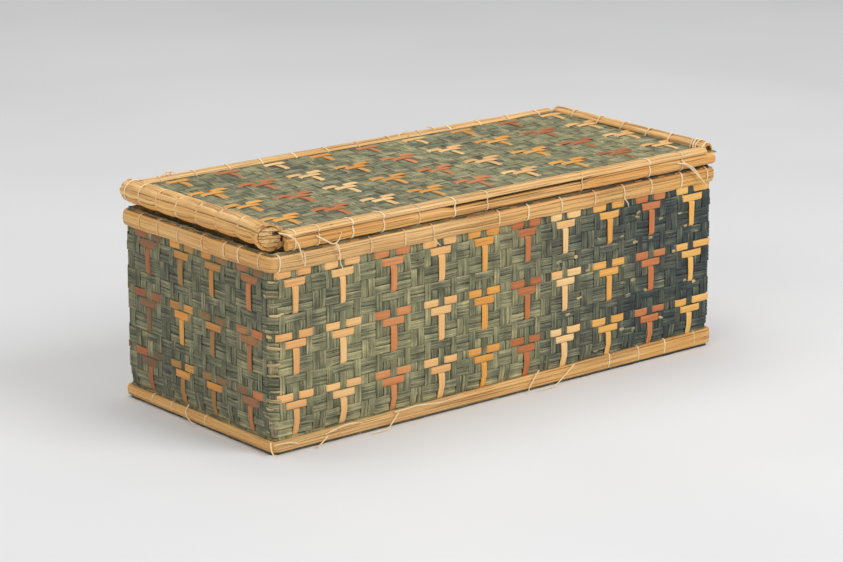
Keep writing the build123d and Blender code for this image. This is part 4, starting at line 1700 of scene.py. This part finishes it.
@dataclass
class BaseRims:
    """Upper rim and lower binding of the base, with their reeds and lashings; lashing places are in millimetres."""

    outline: Outline
    section: CaneSection = CaneSection(3.5 * MM, 2.2 * MM, fullness=3.4)
    binding_section: CaneSection = CaneSection(3.3 * MM, 2.2 * MM, fullness=3.4)
    gap: float = 0.15 * MM
    settled: float = 1.3 * MM
    binding_left: float = 6.7 * MM
    binding_right: float = 10.8 * MM
    scarf_y: float = -25 * MM
    scarf: float = 18 * MM
    pitch: float = 26.5 * MM
    rim_front: tuple[float, ...] = (
        -184.5, -165.2, -138.4, -112.8, -85.1, -61.9, -6.7, 18.5, 47.8, 77.5, 104.2, 129.4, 157.8, 181.9,
    )
    rim_left: tuple[float, ...] = (59.5, 38.9, 16.5, -9.9, -33.6, -48.5, -69.4)
    binding_front: tuple[float, ...] = (93.0, 120.2, 145.1, 173.2)
    binding_end: tuple[float, ...] = (49.4, 27.6, -9.4)

    def _walks(self, front: Sequence[float], left: Sequence[float]) -> list[float]:
        """Lashings at their own places on the front and left, and evenly on the two other walls."""
        walks = [self.outline.walk_to(Side.FRONT, place * MM) for place in front]
        walks += [self.outline.walk_to(Side.LEFT, place * MM) for place in left]
        for side in (Side.RIGHT, Side.BACK):
            walks += [self.outline.start(side) + run for run in spread(self.outline.runs[side.value], self.pitch)]
        return walks

    def _hug(self, walk: float, section: CaneSection, low: float, high: float, seed: float) -> list[tuple]:
        """Line round one of the canes, whichever length of it lies at the walk."""
        ends = self.outline.walk_to(Side.RIGHT, self.scarf_y), self.outline.walk_to(Side.LEFT, self.scarf_y)
        return hugging(section, self.gap, low, high, walk, seed + (1.0 if ends[0] < walk < ends[1] else 0.0))

    def _lengths(self) -> dict[str, tuple[float, float]]:
        """Walks of the two lengths of cane, which meet in scarfs on the end walls."""
        right = self.outline.walk_to(Side.RIGHT, self.scarf_y)
        left = self.outline.walk_to(Side.LEFT, self.scarf_y)
        reach = self.scarf / 2
        return {
            "front": (left - self.outline.length - reach, right + reach),
            "back": (right - reach, left + reach),
        }

    def _binding_top(self, walk: Array) -> Array:
        """Height of the binding's upper edge, which rises to the right."""
        point, _ = self.outline.place(walk)
        low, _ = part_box("binding_front_cane")
        share = (point[:, 0] / self.outline.half_x + 1) / 2
        return low.z - self.settled + self.binding_left + (self.binding_right - self.binding_left) * share

    def _tone(self, walk: Array) -> Array:
        """Pale and rosy on the left of the front, golden to the right."""
        point, _ = self.outline.place(walk)
        share = (point[:, 0] / self.outline.half_x + 1) / 2
        weathered = np.where(point[:, 0] < -self.outline.half_x + 2 * MM, 0.5, 0.0)
        return 0.1 + 0.75 * share + weathered + 0.12 * wave(3.0, walk, 180 * MM)

    def build(self, finishes: Finishes) -> None:
        """Makes canes, reeds and lashings."""
        low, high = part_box("rim_front_cane")
        walks = self._walks(self.rim_front, self.rim_left)
        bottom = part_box("binding_front_cane")[0].z - self.settled
        for number, (part, walk) in enumerate(self._lengths().items()):
            turned_walks = [w + turn * self.outline.length for w in walks for turn in (-1, 0)]
            held = [w for w in turned_walks if walk[0] < w < walk[1]]
            held += [self.outline.start(side) - self.outline.quarter / 2 for side in Side]
            OutlineCane(
                f"rim_{part}_cane", self.outline, self.section, self.gap,
                level_at(low.z), level_at(high.z), walk, Body.BASE,
                scarf_outside=part == "front", seed=1.0 + number, tone=self._tone, pinches=held, ragged=0.45 * MM,
            ).build(finishes.cane, "split_cane")
            OutlineCane(
                f"binding_{part}_cane", self.outline, self.binding_section, self.gap,
                level_at(bottom), self._binding_top, walk, Body.BASE,
                scarf_outside=part == "front", seed=5.0 + number, tone=self._tone, groove=0.25 * MM, ragged=0.0,
            ).build(finishes.cane, "split_cane")
        self._reeds(finishes)
        self._lash(finishes, walks)

    def _reeds(self, finishes: Finishes) -> None:
        """Inner cane and top reed of the rim, and the reed in the bottom corner."""
        reeds = (
            ("rim_inner_cane", 2.3 * MM, 3.1 * MM, CaneSection(2.5 * MM, 1.0 * MM, 12, 6), -1.0),
            ("rim_top_reed", 2.15 * MM, 0.85 * MM, CaneSection(2.15 * MM, 1.7 * MM, 12, 6), 1.0),
            ("binding_corner_reed", 2.3 * MM, 3.6 * MM, CaneSection(3.0 * MM, 1.0 * MM, 12, 6), -1.0),
        )
        for number, (name, inset, bend, section, facing) in enumerate(reeds):
            low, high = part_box(name)
            outline = Outline(self.outline.half_x - inset, self.outline.half_y - inset, bend)
            OutlineCane(
                name, outline, section, 0.0,
                level_at(low.z), level_at(high.z), (0.0, outline.length), Body.BASE,
                facing=facing, closed=True, groove=0.1 * MM, seed=4.0 + number,
                step=4 * MM, ragged=0.0,
            ).build(finishes.cane, "reed")

    def _lash(self, finishes: Finishes, walks: Sequence[float]) -> None:
        """Loops round the rim, and the few that are left on the binding."""
        low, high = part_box("rim_front_cane")
        reed_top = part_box("rim_top_reed")[1].z
        inside = -5.1 * MM
        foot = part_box("binding_front_cane")[0].z - self.settled

        def rim_profile(walk: float) -> list[tuple[float, float]]:
            """Round both canes and over the top reed."""
            return [
                (inside, low.z - 0.2 * MM), (inside, (low.z + high.z) / 2), (inside, high.z - 0.4 * MM),
                (-3.2 * MM, reed_top + 0.25 * MM), (-0.2 * MM, reed_top + 0.3 * MM),
                *self._hug(walk, self.section, low.z, high.z, 1.0),
                (0.1 * MM, low.z - 0.6 * MM), (-2.6 * MM, low.z - 0.6 * MM),
            ]

        def binding_profile(walk: float) -> list[tuple[float, float]]:
            """Round the binding and the corner reed."""
            top = float(self._binding_top(np.array([walk]))[0])
            return [
                (-5.4 * MM, foot - 0.2 * MM), (-5.6 * MM, foot + 4 * MM), (-4 * MM, top * 0.9),
                (0.5 * MM, top + 0.5 * MM),
                *self._hug(walk, self.binding_section, foot, top, 5.0),
                (0.0, foot - 0.4 * MM), (-2.6 * MM, foot - 0.4 * MM),
            ]

        OutlineLashing("rim_lashing", self.outline, rim_profile, walks).build(finishes)
        few = self._walks(self.binding_front, self.binding_end)
        OutlineLashing("binding_lashing", self.outline, binding_profile, few).build(finishes)


@dataclass
class LidRims:
    """Long rims of the lid: flat top cane over the mat's margin, crowned outer cane and core reed, lashed."""

    front_lashes: tuple[float, ...] = (-172.0, -154.1, -127.2, -103.1, -73.6, -44.4, -16.3, 66.4, 127.1, 157.4)
    pitch: float = 26.5 * MM
    front_start: float = -178.3 * MM
    front_end: float = 189.0 * MM
    back_narrower: float = 2.6 * MM
    crack: tuple[float, float] = (-46 * MM, 67 * MM)
    crack_ends: float = 9 * MM

    TOP_FACE, TOP_BACK, CORE_SIDES = 20, 8, 14

    def build(self, finishes: Finishes) -> None:
        """Makes both rims."""
        loops = []
        for part, facing, seed in (("front", -1.0, 11.0), ("back", 1.0, 17.0)):
            low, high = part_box(f"lid_{part}_outer_cane")
            span, closed = (low.x, high.x), level_at(0.9 * MM)
            top_span = span
            places = [low.x + run for run in spread(high.x - low.x, self.pitch)]
            if part == "front":
                span, closed = (self.front_start, self.front_end), self._closing
                top_span = (self.front_start, high.x + 1 * MM)
                places = [place * MM for place in self.front_lashes]
            back_y = min(abs(low.y), abs(high.y))
            out, up, face = CaneSection(max(abs(low.y), abs(high.y)) - back_y, 2.2 * MM, 18, 6, 3.4).points()
            section = table(facing * (back_y + out), (low.z + high.z) / 2 + up * (high.z - low.z))
            outer = StraightCane(
                f"lid_{part}_outer_cane", span, section, face, seed, 0.75, pinches=places, fuller=closed,
            )
            top = StraightCane(
                f"lid_{part}_top_cane", top_span, self._top_section(part, facing),
                np.arange(self.TOP_FACE + self.TOP_BACK) < self.TOP_FACE, seed + 3, 0.2,
                groove=0.4 * MM, pinches=places,
            )
            low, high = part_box(f"lid_{part}_core_reed")
            turn = np.linspace(0, 2 * math.pi, self.CORE_SIDES, endpoint=False)
            oval = table(np.cos(turn) * (high.y - low.y), np.sin(turn) * (high.z - low.z)) * 0.49
            core = StraightCane(
                f"lid_{part}_core_reed", (low.x, high.x),
                oval + np.array([low.y + high.y, low.z + high.z]) / 2, np.ones(self.CORE_SIDES, bool), seed + 5, 0.4,
                groove=0.1 * MM,
            )
            for cane in (outer, top):
                cane.build(finishes.cane, "split_cane")
            core.build(finishes.cane, "reed")
            for number, place in enumerate(places):
                name = f"lid_{part}_loop_{number}"
                loops.append(self._loop(name, outer, top, facing, place, chance(number, facing, 8.0)))
        dress(join(loops, "lid_rim_lashing_loops"), finishes.fibre, Body.LID, ["lid_rim_lashing"])

    def _closing(self, walk: Array) -> Array:
        """How far the front outer cane rises to meet the top cane: not where the crack between them is open."""
        start, end = self.crack
        open_here = np.clip((walk - start) / self.crack_ends + 1, 0, 1)
        open_here = open_here * np.clip((end - walk) / self.crack_ends + 1, 0, 1)
        return (0.95 - 1.9 * open_here) * MM

    def _top_section(self, part: str, facing: float) -> Array:
        """Flat cane: crowned above near its outer edge, bent below over the margin; the face's points come first."""
        low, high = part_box(f"lid_{part}_top_cane")
        outer, inner = max(abs(low.y), abs(high.y)), min(abs(low.y), abs(high.y))
        if part == "back":
            inner += self.back_narrower
        y, under = np.linspace(outer, inner, self.TOP_FACE), np.linspace(inner, outer, self.TOP_BACK)
        start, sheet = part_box("lid_lining")[1].y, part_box("lid_mat")[1].z + 0.12 * MM
        share = (outer - y) / (outer - inner)
        thick = np.interp(share, (0, 0.1, 0.28, 0.5, 0.75, 0.92, 1), (1.5, 2.7, 3.05, 2.6, 1.7, 0.9, 0.4)) * MM
        top = np.minimum(sheet - np.maximum(y - start, 0) * MARGIN_SLOPE + thick, high.z)
        below = sheet - np.maximum(under - start, 0) * MARGIN_SLOPE
        return np.concatenate([table(facing * y, top), table(facing * under, below)])

    def _loop(
        self, name: str, outer: StraightCane, top: StraightCane, facing: float, place: float, tone: float
    ) -> Piece:
        """One loop: over the top cane, down the outer one's face and back underneath."""
        over, down = top.over(place)[::-1], outer.over(place)[::-1]
        inner, foot = abs(over[0, 0]) - 0.5 * MM, down[-1, 1]
        under = [
            (facing * (abs(down[-1, 0]) - 1.2 * MM), foot - 0.45 * MM), (facing * (inner + 5 * MM), foot - 0.4 * MM),
            (facing * inner, foot + 0.4 * MM), (facing * inner, over[0, 1] - 2 * MM),
        ]
        line = rounded(np.vstack([over, down, under]), 1)
        lean = (chance(tone, 2.0) - 0.5) * 3 * MM
        share = (np.abs(line[:, 0]) - inner) / (11 * MM) - 0.5
        route = table(place + lean * share, line[:, 0], line[:, 1])
        return add_loop(name, route, np.array([1.0, 0, 0]), (1.0 + 0.35 * tone) * MM, 0.75 * MM, tone)


@dataclass
class EndRoll:
    """Bundle of split staves round a core, lashed, at one end of the lid; lashing places are in millimetres."""

    part: str
    lashes: tuple[float, ...]
    splits: tuple[float, ...]
    staves: int = 8
    bulge: float = 0.6 * MM
    pinch: float = 3.6 * MM
    droop: float = 0.0
    slant: float = 0.0
    flare: float = 0.0
    set_back: float = 0.0
    rough_wraps: int = 0

    FACE_POINTS, BACK_POINTS = 12, 6
    STAVE_STEPS, SPLINT_STEPS, LOOP_STEPS = 190, 40, 30
    HANGS_FROM, HANGS_OVER = -40 * MM, 40 * MM
    REAR_TIE, FRONT_TIE, MOUTH = 6 * MM, 9 * MM, 8 * MM

    @property
    def middle(self) -> tuple[float, float]:
        """x and z of the roll's middle line."""
        low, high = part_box(f"{self.part}_roll_lashing")
        return (low.x + high.x) / 2, (low.z + high.z) / 2

    @property
    def radius(self) -> float:
        """Radius to the staves' crowns."""
        low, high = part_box(f"{self.part}_roll_lashing")
        return (high.x - low.x) / 2 - 0.9 * MM

    @property
    def ends(self) -> tuple[float, float]:
        """y of the front and rear end."""
        low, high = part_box(f"{self.part}_roll_staves")
        return low.y + self.set_back, high.y

    def _along(self, share: Array, x: Array) -> Array:
        """y for shares of the length; the front end is cut aslant."""
        front, rear = self.ends
        start = front + self.slant * (self.middle[0] + self.radius - x)
        return start + share * (rear - start)

    def _sag(self, y: Array) -> Array:
        """How far the roll's front part hangs."""
        return self.droop * np.clip((self.HANGS_FROM - y) / self.HANGS_OVER, 0, 1) ** 1.3

    def _drawn_in(self, y: Array) -> Array:
        """Share of its thickness that the roll keeps near its tied ends."""
        front, rear = self.ends
        gone = np.clip((y - rear) / self.REAR_TIE + 1, 0, 1) ** 2 * 0.3
        if self.rough_wraps:
            gone = gone + np.clip((front - y) / self.FRONT_TIE + 1, 0, 1) ** 2 * 0.22
        return 1 - gone

    def _swell(self, y: Array, seed: float) -> Array:
        """How far a stave stands out: held in at lashings, full between them, spread at an open end."""
        near = np.min(np.abs(y[:, None] - np.array(self.lashes)[None, :] * MM), axis=1)
        full = self.bulge * (0.7 - np.exp(-((near / self.pinch) ** 2))) * (0.8 + 0.35 * chance(seed, 2.0))
        return full + self._spreading(y) * (0.8 + 0.25 * chance(seed, 3.0))

    def _spreading(self, y: Array) -> Array:
        """How far the open front end spreads."""
        return self.flare * np.clip((self.ends[0] - y) / self.MOUTH + 1, 0, 1) ** 1.5

    def _stave(self, number: int) -> Piece:
        """Makes one stave, which fills its share of the ring."""
        face_points, back_points = self.FACE_POINTS, self.BACK_POINTS
        sides = face_points + back_points
        seed = number * 1.9 + len(self.part)
        length = self.ends[1] - self.ends[0]
        piece, share, side = add_rod(f"{self.part}_stave_{number}", length, sides, self.STAVE_STEPS)
        nearly = self.ends[0] + share * length
        middle_x, middle_z = self.middle
        centre = 2 * math.pi * number / self.staves + wave(seed, nearly, 170 * MM) * 0.05
        half_angle = math.pi / self.staves * (0.93 + 0.05 * chance(seed, 4.0))
        face = side < face_points
        back = 0.5 - (side - face_points) / (back_points - 1)
        across = np.where(face, side / (face_points - 1) - 0.5, back) * 2
        crown = 0.08 * self.radius
        deep = self.radius - np.where(face, crown * np.abs(across) ** 2.2, 0.27 * self.radius)
        crease = 0.3 * MM * np.exp(-(((across - 0.35 * wave(seed, nearly, 140 * MM)) / 0.09) ** 2))
        open_here = np.clip(wave(seed + 1, nearly, 90 * MM) + 0.2, 0, 1)
        distance = deep + self._swell(nearly, seed) - np.where(face, crease * open_here, 0)
        distance = distance * self._drawn_in(nearly)
        angle = centre + across * half_angle
        x = middle_x + np.cos(angle) * distance
        y = self._along(share * (1 - 0.006 * chance(seed, 5.0)) + 0.004 * chance(seed, 9.0), x)
        girth = 4 * half_angle * self.radius
        write_grain(piece.data, y + number * 0.31, side / sides * girth + number * 0.05, girth)
        golden = 0.55 * np.clip(-np.sin(angle + 0.5) + 0.1, 0, 1)
        tone = 0.2 + 0.25 * chance(seed, 6.0) + golden + 0.15 * wave(seed, y, 100 * MM)
        # Faces get light soil in patches; the backs, inside the roll, are darkened as painted shade.
        soil_and_back_shade = np.where(face, 0.12 * np.clip(wave(seed + 2, y, 50 * MM), 0, 1), 0.25)
        write_shade(piece.data, table(tone, soil_and_back_shade, np.full(len(y), 0.8)))
        finish_shape(piece, table(x, y, middle_z + np.sin(angle) * distance - self._sag(y)))
        return piece

    def _splint(self, number: int) -> Piece:
        """Makes one flat splint of the core; the fourth stops short and leaves a hole beside it."""
        seed = number * 2.7 + len(self.part)
        reach = 0.74 * self.radius
        low, high = self.splits[number] * reach, self.splits[number + 1] * reach - 0.28 * MM
        rise = np.array([low, (low + high) / 2, high])
        edge = np.sqrt(np.maximum(reach ** 2 - rise ** 2, 0.4 * MM ** 2))
        right = np.minimum(edge, 0.24 * reach) if number == 3 else edge
        level = np.array([0.5, 0.0, -0.5])
        section = np.concatenate([
            table(right, rise), table(level * edge[2], np.full(3, high)),
            table(-edge, rise)[::-1], table(-level * edge[0], np.full(3, low)),
        ])
        length = self.ends[1] - self.ends[0]
        piece, share, side = add_rod(f"{self.part}_splint_{number}", length, len(section), self.SPLINT_STEPS)
        middle_x, middle_z = self.middle
        inset = (0.4 * MM + 0.9 * MM * chance(seed, 1.0) + (2.5 * MM if self.rough_wraps else 0)) / length
        nearly = self.ends[0] + share * length
        size = self._drawn_in(nearly) * (1 + self._spreading(nearly) / reach)
        x = section[side, 0] * size
        y = self._along(inset + share * (1 - 2 * inset), middle_x + x)
        z = section[side, 1] * size + 0.25 * MM * wave(seed, x, 8 * MM)
        write_grain(piece.data, y + seed * 0.1, side / len(section) * 9 * MM, 9 * MM)
        write_shade(piece.data, np.tile([0.05 + 0.2 * chance(seed, 5.0), 0.1, 1.0], (len(y), 1)))
        finish_shape(piece, table(middle_x + x, y, middle_z + z - self._sag(y)))
        return piece

    def _loops(self) -> list[Piece]:
        """Makes the lashings, and the rough turns round a tied front end."""
        front, _ = self.ends
        turn = np.linspace(0, 2 * math.pi, self.LOOP_STEPS, endpoint=False)
        wraps = [(place * MM, 0.0) for place in self.lashes]
        wraps += [(front + (2.2 + 2.4 * number) * MM, 1.0) for number in range(self.rough_wraps)]
        middle_x, middle_z = self.middle
        loops = []
        for number, (place, rough) in enumerate(wraps):
            tone = chance(number, self.radius * 1000, 6.0)
            y = place + (chance(number, 4.0) - 0.5) * (2 + 3 * rough) * MM * np.sin(turn)
            y = y + rough * 0.7 * MM * np.sin(2 * turn + number)
            ring = (self.radius - 0.3 * self.bulge + 0.2 * MM + rough * 0.5 * MM * tone) * self._drawn_in(y)
            if self.part == "right":
                ring = ring + 0.8 * MM * np.exp(-(((turn - 1.8) / 0.3) ** 2))
            x, z = middle_x + np.cos(turn) * ring, middle_z + np.sin(turn) * ring - self._sag(y)
            name, breadth = f"{self.part}_roll_loop_{number}", (1.1 + 0.35 * tone) * MM
            loops.append(add_loop(name, table(x, y, z), np.array([0, 1.0, 0]), breadth, 0.8 * MM, tone))
        return loops

    def build(self, finishes: Finishes) -> None:
        """Makes staves, core and lashings."""
        inward = 0 if self.part == "left" else self.staves // 2
        staves = join([self._stave(n) for n in range(self.staves) if n != inward], f"{self.part}_roll_split")
        dress(staves, finishes.cane, Body.LID, [f"{self.part}_roll_staves"])
        numbers = range(len(self.splits) - 1)
        half = (len(numbers) + 1) // 2
        for word, held in (("lower", numbers[:half]), ("upper", numbers[half:])):
            core = join([self._splint(n) for n in held], f"{self.part}_roll_{word}_splints")
            dress(core, finishes.cane, Body.LID, [f"{self.part}_roll_{word}_core"])
        node = f"{self.part}_roll_lashing"
        dress(join(self._loops(), f"{node}_loops"), finishes.fibre, Body.LID, [node])


@dataclass
class Skirt:
    """Plaited band that hangs from the lid, with a hoop at its top and foot."""

    bend: float = 4 * MM
    depth: float = 0.5 * MM
    pitch: float = 5.2 * MM
    hoop: CaneSection = CaneSection(2.3 * MM, 0.9 * MM, 12, 6)
    hoop_depth: float = 1.4 * MM

    def build(self, finishes: Finishes) -> None:
        """Makes the band and its hoops."""
        low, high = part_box("lid_skirt")
        outline = Outline((high.x - low.x) / 2, high.y, self.bend, (high.x + low.x) / 2)
        PlainPlait(
            "lid_skirt", WallSurface(outline, self.depth), (0.0, outline.length), (low.z, high.z), self.pitch,
            Body.LID, around=True, tone=-0.2,
        ).build(finishes)
        for name in ("skirt_lower_hoop", "skirt_upper_hoop"):
            below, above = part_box(name)
            OutlineCane(
                name, outline, self.hoop, self.hoop_depth,
                level_at(below.z), level_at(above.z), (0.0, outline.length), Body.LID,
                facing=-1.0, closed=True, groove=0.1 * MM, step=4 * MM, seed=3.0,
                ragged=0.0,
            ).build(finishes.cane, "reed")


@dataclass(frozen=True)
class LooseEnd:
    """Free end of a lashing: the points that it passes, in millimetres, and how thick it is."""

    points: tuple[tuple[float, float, float], ...]
    breadth: float = 1.15 * MM

    SIDES, STEPS = 6, 30
    FLATNESS = 0.7
    GIRTH = 3 * MM
    EDGE_ANGLE = 80.0

    def make(self, name: str) -> Piece:
        """Makes the end, thinning towards its tip."""
        line = np.array(self.points) * MM
        for _ in range(3):
            cut = table(0.75 * line[:-1] + 0.25 * line[1:], 0.25 * line[:-1] + 0.75 * line[1:])
            line = np.vstack([line[:1], cut.reshape(-1, 3), line[-1:]])
        run = run_along(line, closed=False)
        piece, share, number = add_rod(name, run[-1], self.SIDES, self.STEPS)

        def at(part: Array) -> Array:
            """Point for a share of the length."""
            return table(*(np.interp(part * run[-1], run, line[:, axis]) for axis in range(3)))

        tangent = unit(at(np.clip(share + 0.02, 0, 1)) - at(np.clip(share - 0.02, 0, 1)))
        level = unit(np.cross(tangent, np.array([0.15, 1.0, 0.1])))
        turn = number / self.SIDES * 2 * math.pi
        size = self.breadth / 2 * (1 - 0.55 * share ** 2)
        spread_out = level * (np.cos(turn) * size)[:, None]
        spread_out += np.cross(tangent, level) * (np.sin(turn) * size * self.FLATNESS)[:, None]
        write_grain(piece.data, share * run[-1], number / self.SIDES * self.GIRTH, self.GIRTH)
        write_shade(piece.data, np.tile([0.75, 0.0, 0.0], (len(share), 1)))
        finish_shape(piece, at(share) + spread_out, self.EDGE_ANGLE)
        return piece


@dataclass(frozen=True)
class LooseEnds:
    """All free ends, as they have come to lie."""

    lid: tuple[LooseEnd, ...] = (
        LooseEnd(((-156.4, -82.9, 136.5), (-149.7, -84.6, 132.5), (-144.5, -85.2, 129.4),
                  (-140.2, -84.8, 131.5), (-136.7, -82.9, 135.8))),
        LooseEnd(((-142.6, -84.6, 129.4), (-139.2, -84.6, 122.9), (-139.1, -84.4, 116.3), (-136.4, -84, 111.9))),
        LooseEnd(((-183, -80, 142), (-178, -84, 140.9), (-172.2, -85, 135.6), (-169.7, -84.6, 128.7),
                  (-167, -84, 121.1))),
        LooseEnd(((156.4, -82.9, 137.6), (162.8, -85, 131.9), (171.6, -85.2, 124.3), (181.8, -84.2, 114.7))),
        LooseEnd(((152.6, -82.9, 136), (160.8, -85, 134.7), (168.3, -85.4, 129.1), (176.2, -84.6, 119.2))),
        LooseEnd(((-160, 79, 142), (-156, 79.6, 144.3), (-151.5, 78.6, 143.6), (-153, 79.8, 141.8),
                  (-156.6, 78.6, 142.5), (-153.6, 80, 144.6), (-149, 79, 143.2))),
        LooseEnd(((38.8, 78, 141.2), (43, 78.6, 143.2), (48.2, 78, 144.2)), 0.9 * MM),
        LooseEnd(((64.9, 78, 144.2), (69, 78.6, 143.4), (72.5, 78, 141.3)), 0.9 * MM),
        LooseEnd(((109.4, 78, 141.4), (111, 78.6, 143.6), (113.4, 78, 145)), 0.9 * MM),
    )
    rim: tuple[LooseEnd, ...] = (
        LooseEnd(((-61.9, -82.4, 119), (-60.5, -84.2, 116.4), (-58.2, -84.4, 114.2)), 0.9 * MM),
        LooseEnd(((104.2, -82.4, 119), (105.9, -84.2, 116.2), (106.8, -84.2, 113)), 0.9 * MM),
    )
    binding: tuple[LooseEnd, ...] = (
        LooseEnd(((-171.7, -82.2, 4.9), (-178, -83.6, 7.4), (-185, -84, 8.2), (-192, -84.6, 8.6))),
        LooseEnd(((-150.6, -82.6, 6.5), (-146.2, -84.6, 8.6), (-137, -85.2, 10.7), (-128.4, -84.8, 10.3),
                  (-118.9, -81.6, 7))),
        LooseEnd(((-94.8, -83, 9.7), (-85.2, -84.4, 10.6), (-74.6, -84.4, 11), (-58.7, -83.8, 8.6),
                  (-45.9, -83, 9), (-32.5, -81, 9.9))),
        LooseEnd(((-149.6, -84.2, 5.8), (-155.2, -84.2, 1.7), (-160.9, -87.3, 1.3), (-157.7, -87.3, 1.3))),
        LooseEnd(((-92.4, -84.2, 9.3), (-97.4, -84.2, 4.2), (-103.2, -87.3, 1.3), (-113.1, -87.3, 1.2),
                  (-118, -87.3, 1.3))),
        LooseEnd(((27.5, -84.2, 14), (21.3, -84.2, 6.8), (16.9, -85.4, 1.5), (17, -87.3, 1.3), (18, -87.3, 1.3))),
        LooseEnd(((59.2, -84.2, 12), (49.3, -84.2, 4.8), (39.4, -87.3, 1.3), (31.3, -87.3, 1.3),
                  (24.2, -87.3, 1.3))),
        LooseEnd(((-191.2, 8, 12), (-193.6, 8.6, 8), (-194.6, 6, 4.6), (-194.8, 0, 2.4), (-194.4, -3.5, 2.6))),
        LooseEnd(((-190.6, -79, 8.5), (-192.4, -81.5, 5), (-193, -84.4, 2.4), (-190.8, -86.6, 1.5))),
    )

    def build(self, finishes: Finishes) -> None:
        """Makes the ends of each lashing one piece."""
        for node, body, ends in (
            ("lid_rim_lashing", Body.LID, self.lid), ("rim_lashing", Body.BASE, self.rim),
            ("binding_lashing", Body.BASE, self.binding),
        ):
            made = [end.make(f"{node}_end_{number}") for number, end in enumerate(ends)]
            dress(join(made, f"{node}_ends"), finishes.fibre, body, [node])


# Studio


@dataclass(frozen=True)
class Studio:
    """Pale floor, soft light and the camera at the photograph's angle."""

    focal_pixels: float = 3000.0
    frame_width: int = 843
    azimuth: float = -39.5
    elevation: float = 15.55
    distance: float = 2.022
    target: tuple[float, float, float] = (-0.0042, 0.0, 0.063)
    sensor: float = 36.0
    floor_size: float = 14.0
    lamps: tuple[tuple[str, tuple[float, float, float], float, float], ...] = (
        ("key_light", (0.75, -1.7, 1.75), 1.3, 34.0),
        ("fill_light", (-1.8, -0.5, 0.9), 1.4, 9.0),
        ("top_light", (-0.2, 0.5, 2.2), 1.6, 18.0),
    )
    lit_height: float = 0.06
    surroundings: tuple[float, ...] = (0.9, 0.9, 0.9, 1.0)
    surroundings_strength: float = 0.45

    def set_up(self) -> None:
        """Makes the camera, floor, lamps and world."""
        self._camera()
        self._floor()
        for lamp in self.lamps:
            self._lamp(*lamp)
        self._world()
        bpy.context.scene.view_settings.view_transform = "Standard"
        log.info("studio: camera, floor and %d lamps", len(self.lamps))

    def _camera(self) -> None:
        """Places the camera."""
        data = bpy.data.cameras.new("camera")
        data.sensor_width = self.sensor
        data.lens = self.focal_pixels / self.frame_width * self.sensor
        camera = bpy.data.objects.new("camera", data)
        bpy.context.scene.collection.objects.link(camera)
        turn, rise = math.radians(self.azimuth), math.radians(self.elevation)
        back = Vector((math.sin(turn) * math.cos(rise), -math.cos(turn) * math.cos(rise), math.sin(rise)))
        camera.location = Vector(self.target) + back * self.distance
        camera.rotation_euler = (-back).to_track_quat("-Z", "Y").to_euler()
        bpy.context.scene.camera = camera

    def _floor(self) -> None:
        """Makes the floor."""
        deselect_all()
        bpy.ops.mesh.primitive_plane_add(size=self.floor_size, location=(0, 0, 0))
        floor = bpy.context.active_object
        floor.name = "floor"
        floor.data.materials.append(PaleFloor().make())

    def _lamp(self, name: str, place: tuple[float, float, float], size: float, power: float) -> None:
        """Hangs one soft lamp that faces the box."""
        data = bpy.data.lights.new(name, "AREA")
        data.size = size
        data.energy = power
        lamp = bpy.data.objects.new(name, data)
        bpy.context.scene.collection.objects.link(lamp)
        lamp.location = place
        lamp.rotation_euler = (Vector((0, 0, self.lit_height)) - Vector(place)).to_track_quat("-Z", "Y").to_euler()

    def _world(self) -> None:
        """Plain pale surroundings."""
        world = bpy.data.worlds.new("studio")
        world.use_nodes = True
        background = world.node_tree.nodes["Background"]
        background.inputs["Color"].default_value = self.surroundings
        background.inputs["Strength"].default_value = self.surroundings_strength
        bpy.context.scene.world = world


def main() -> None:
    """Builds and dresses the whole box."""
    logging.basicConfig(level=logging.INFO, format="%(message)s")
    Studio().set_up()
    finishes = Finishes()
    wall_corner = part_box("side_mat")[1]
    outline = Outline(wall_corner.x, wall_corner.y, 2 * MM)
    PlaitedWalls(outline).build(finishes)
    PlaitedLid().build(finishes)
    PlainSheets(outline).build(finishes)
    BaseRims(outline).build(finishes)
    LidRims().build(finishes)
    rolls = (
        EndRoll(
            "left", (75.3, 59.4, 39.9, 18.2, -3.8, -25.5, -48.8, -66.6), (-0.98, -0.54, -0.13, 0.17, 0.57, 0.98),
            bulge=1.0 * MM, pinch=3.2 * MM, droop=1.7 * MM, slant=math.tan(math.radians(21)), flare=1.2 * MM,
        ),
        EndRoll(
            "right", (76.5, 55.7, 29.1, 5.0, -20.7, -43.0, -65.9), (-0.95, 0.0, 0.95), bulge=0.5 * MM, rough_wraps=4,
            set_back=4.3 * MM,
        ),
    )
    for roll in rolls:
        roll.build(finishes)
    Skirt().build(finishes)
    LooseEnds().build(finishes)
    LidSet().apply(MADE[Body.LID])


if __name__ == "__main__":
    main()
